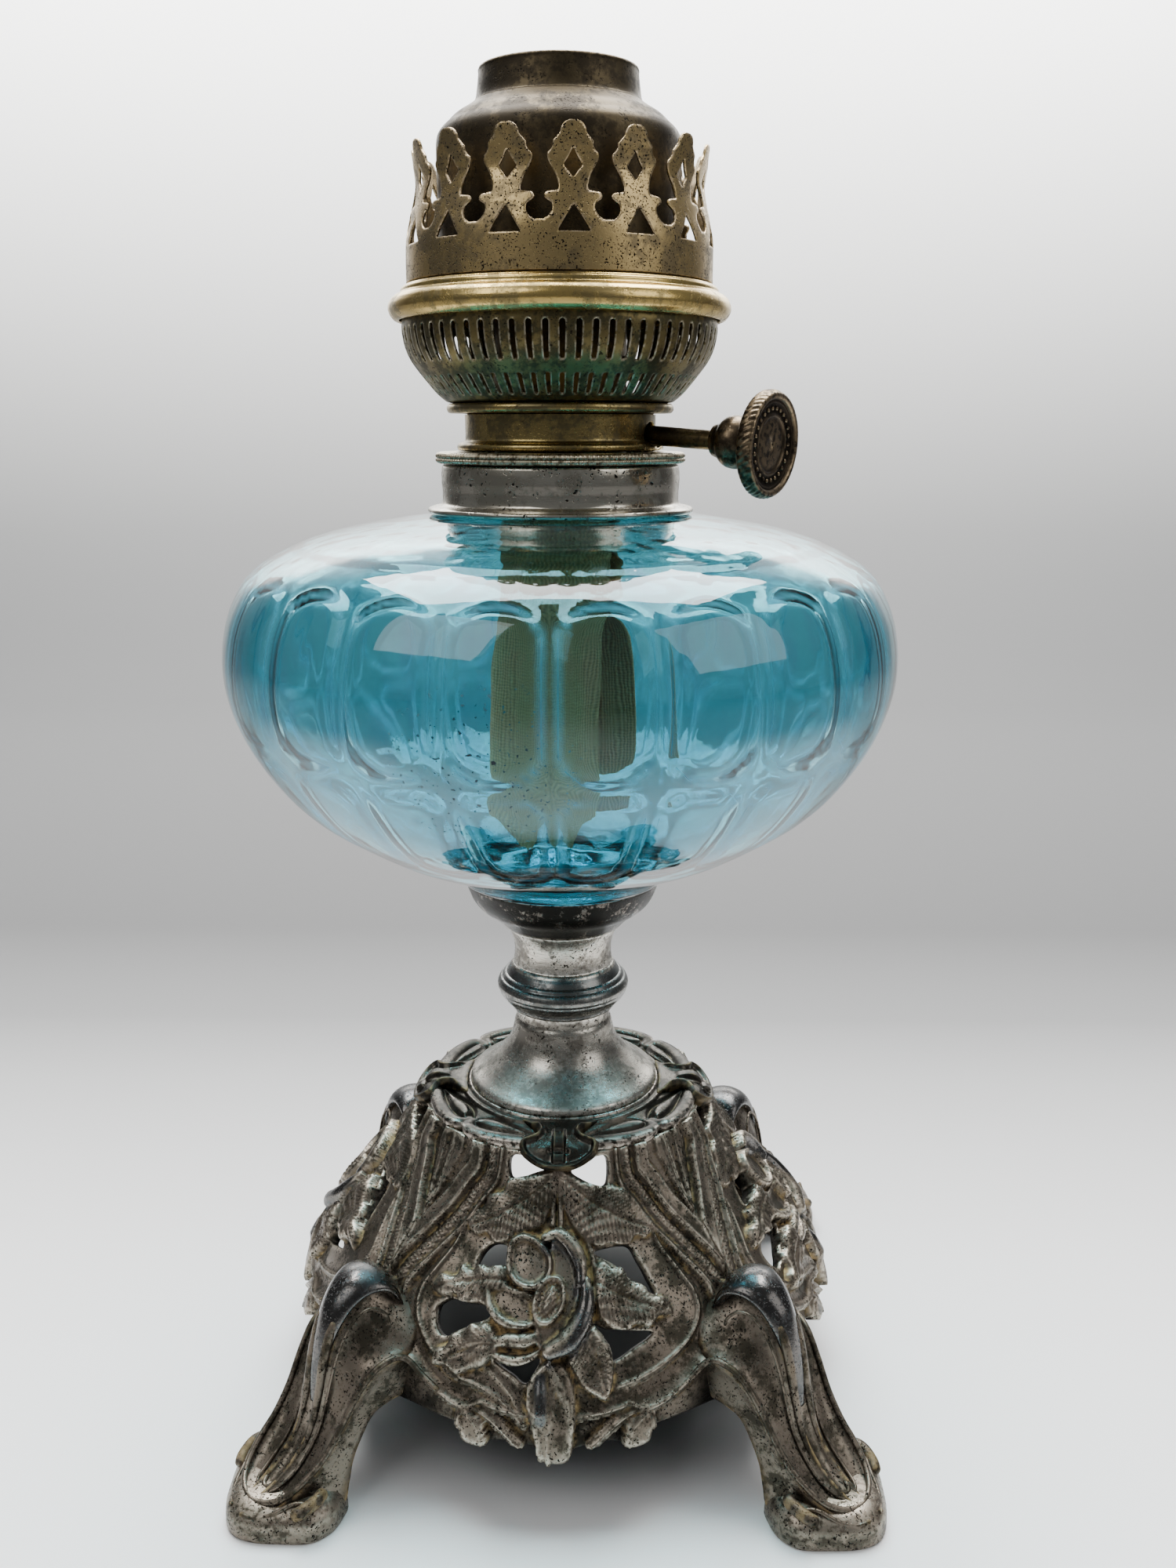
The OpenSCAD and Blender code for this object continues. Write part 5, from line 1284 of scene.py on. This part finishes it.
def wick():
    """A woven tape bent to a near circle in the burner and hanging open in the font, ragged at its lower end."""
    top, foot = high("wick"), low("wick") - 6
    wide, thick, n, m = 75.0, 1.3, 190, 150
    gap = math.radians(-10)
    round_r = 13.6
    half = 0.5 * wide / round_r
    a = np.linspace(gap + np.pi - half, gap + np.pi + half, n)
    tube = np.stack([round_r * np.cos(a), round_r * np.sin(a)], 1)
    hang = spline([(21, 13.0), (14, 13.6), (6, 13.2), (-4, 11), (-12, 8), (-17.4, 2), (-17.6, -5), (-12, -10.6), (-4, -12.8),
                   (4, -11.6), (9, -8.6)], 16)
    run = np.concatenate([[0], np.cumsum(np.hypot(*np.diff(hang, axis=0).T))])
    even = np.linspace(0, run[-1], n)
    hang = np.stack([np.interp(even, run, hang[:, k]) for k in (0, 1)], 1) * wide / run[-1]
    x = np.linspace(0, 1, n)
    rng = np.random.default_rng(7)
    rough_end = np.interp(x, np.linspace(0, 1, 48), rng.uniform(0, 1, 48))
    end = foot + np.interp(x, [0, 0.1, 0.24, 0.3, 0.5, 0.66, 0.74, 0.8, 0.86, 0.93, 1],
                           [17, 14, 13, 11, 12, 10, 3, 0.6, 2.4, 8, 11]) + 1.6 * rough_end
    rows_o, rows_i, uvs = [], [], []
    for s in np.linspace(0, 1, m):
        z = top + (end - top) * s
        k = np.interp(z, [foot + 6, Z_COLLAR - 54, Z_COLLAR - 36, Z_COLLAR - 22, Z_COLLAR - 14, Z_RING - 17], [1, 0.92, 0.7, 0.38, 0.12, 0])
        p = tube + (hang - tube) * k[:, None]
        p = p + (0.5 * k * np.sin(x * 21 + z * 0.05))[:, None] * np.stack([np.cos(a), np.sin(a)], 1)
        tan = np.gradient(p, axis=0)
        tan /= np.linalg.norm(tan, axis=1, keepdims=True)
        out = np.stack([tan[:, 1], -tan[:, 0]], 1)
        cord = 0.05 * np.sin(TAU * x * 47 + 0.8 * np.sin(z * 0.9) + 0.5 * np.sin(z * 2.3 + 9 * x))
        thin = 1 - 0.7 * ease(s, 0.985, 1.0)
        rows_o.append(np.column_stack([p + out * (0.5 * thick * thin + cord)[:, None], z]))
        rows_i.append(np.column_stack([p - out * (0.5 * thick * thin + cord)[:, None], z]))
        uvs.append(np.column_stack([x * wide / 100, (top - z) / 100]))
    rows = np.stack([np.vstack([o, i[::-1]]) for o, i in zip(rows_o, rows_i)])
    uv = np.stack([np.vstack([w, w[::-1]]) for w in uvs])
    k = 2 * n
    j = np.arange(n - 1)
    cap = np.stack([j, j + 1, k - 2 - j, k - 1 - j], 1)
    faces = [quads(m, k, False, True), cap[:, ::-1], cap + (m - 1) * k]
    ob = put("wick_tape", [(rows, faces)], M["wick"], "wick", "wick", uv=uv.reshape(-1, 2))
    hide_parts("wick")


stem()
glass()
collar()
screw_ring()
burner_body()
basket()
gallery()
crown()
dome_parts()
knob()
wick()


# Stage.

def camera():
    """The photo's view: 14.4 degrees down, 340 mm from the lamp's middle line."""
    th, f, cx, ax = 0.25055, 1783.0, 750.0, 714.8
    phi = math.radians(2.0)
    yaw = math.atan((cx - ax) / f * math.cos(th))
    fwd = Vector((math.sin(yaw) * math.cos(th), math.cos(yaw) * math.cos(th), -math.sin(th)))
    right = Vector((math.cos(yaw), -math.sin(yaw), 0))
    up = right.cross(fwd)
    rz = Matrix.Rotation(phi, 3, "Z")
    loc = rz @ Vector((0, -0.340, 0)) + Vector((0, 0, 0.2457))
    r, u, w = rz @ right, rz @ up, rz @ fwd
    cam = bpy.data.cameras.new("camera")
    cam.sensor_fit = "AUTO"
    cam.sensor_width = 36
    cam.lens = 36 * f / 2000
    cam.clip_start = 0.01
    ob = bpy.data.objects.new("camera", cam)
    ob.matrix_world = Matrix(((r.x, u.x, -w.x, loc.x), (r.y, u.y, -w.y, loc.y), (r.z, u.z, -w.z, loc.z), (0, 0, 0, 1)))
    bpy.context.scene.collection.objects.link(ob)
    bpy.context.scene.camera = ob


camera()

def pale_floor():
    """A pale sweep with painted light and shade: greyer behind the lamp than at its feet and up the wall."""
    g = Graph("floor")
    n = g.node("SeparateXYZ")
    g.join(n.inputs[0], g.mm)
    # painted light and shade: the floor's tone changes with depth, bright at the lamp's feet and dark behind it
    painted_floor_shade = g.node("ValToRGB")
    for k, (at, tone) in enumerate(FLOOR_LIGHT_AND_SHADE):
        e = painted_floor_shade.color_ramp.elements[k] if k < 2 else painted_floor_shade.color_ramp.elements.new(at)
        e.position = at
        e.color = (tone, tone, tone * 0.995, 1)
    g.join(painted_floor_shade.inputs[0], g.times(g.plus(n.outputs["Y"], 1200.0), 1 / 2400))
    color = g.mix(g.band("Z", 5, 700), painted_floor_shade.outputs[0], (0.92, 0.92, 0.9))
    # beyond the picture's edges the room is dark, as the glass and the metal mirror it
    across = g.math("SUBTRACT", g.math("ABSOLUTE", n.outputs["X"]), g.times(g.plus(n.outputs["Y"], 340), 0.45))
    outside = g.math("MAXIMUM", g.step(across, 80, 400), g.step(n.outputs["Z"], 950, 1350))
    color = g.mix(outside, color, (0.13, 0.13, 0.135))
    # the hollow of the foot keeps its floor in deep shade
    middle = g.vector("DISTANCE", g.mm, (0, 0, 0))
    color = g.mix(g.step(middle, 78, 38), color, (0.06, 0.065, 0.065))
    g.set(Base_Color=color, Roughness=0.75)
    return g.mat


# painted light and shade on the floor: place along the depth, and tone
FLOOR_LIGHT_AND_SHADE = [(0.0, 0.2), (1.0, 0.27), (0.4, 0.3), (0.45, 0.92), (0.515, 0.66), (0.542, 0.5), (0.59, 0.21), (0.635, 0.115), (0.88, 0.19)]
ys = np.concatenate([[-3.0], np.linspace(0.9, 1.9, 24)]) * 1000
zs = np.concatenate([[0], 2600 * (1 - np.cos(np.linspace(0, np.pi / 2, 24)))])
verts = [(x, y, z) for y, z in zip(ys, zs) for x in (-3000, 3000)]
floor = put("floor", [(verts, quads(len(ys), 2)[:, ::-1])], pale_floor(), None, None)


def area(name, loc, target, size, power, color=(1, 1, 1)):
    li = bpy.data.lights.new(name, "AREA")
    li.shape = "RECTANGLE"
    li.size, li.size_y = size
    li.energy = power
    li.color = color
    ob = bpy.data.objects.new(name, li)
    ob.location = loc
    ob.rotation_euler = (Vector(target) - Vector(loc)).to_track_quat("-Z", "Y").to_euler()
    bpy.context.scene.collection.objects.link(ob)
    return ob


area("key", (-0.9, -0.9, 1.3), (0, 0, 0.15), (1.0, 1.0), 9)
area("fill", (1.1, -0.6, 0.9), (0, 0, 0.15), (0.9, 0.9), 5)
area("top", (0.0, 0.5, 1.5), (0, 0, 0.1), (1.5, 0.9), 80)
area("wall", (0.0, 0.9, 1.5), (0, 2.2, 1.7), (3.0, 0.6), 230)
world = bpy.data.worlds.new("world")
bpy.context.scene.world = world
world.use_nodes = True
world.node_tree.nodes["Background"].inputs[0].default_value = (0.8, 0.84, 0.88, 1)
world.node_tree.nodes["Background"].inputs[1].default_value = 0.2
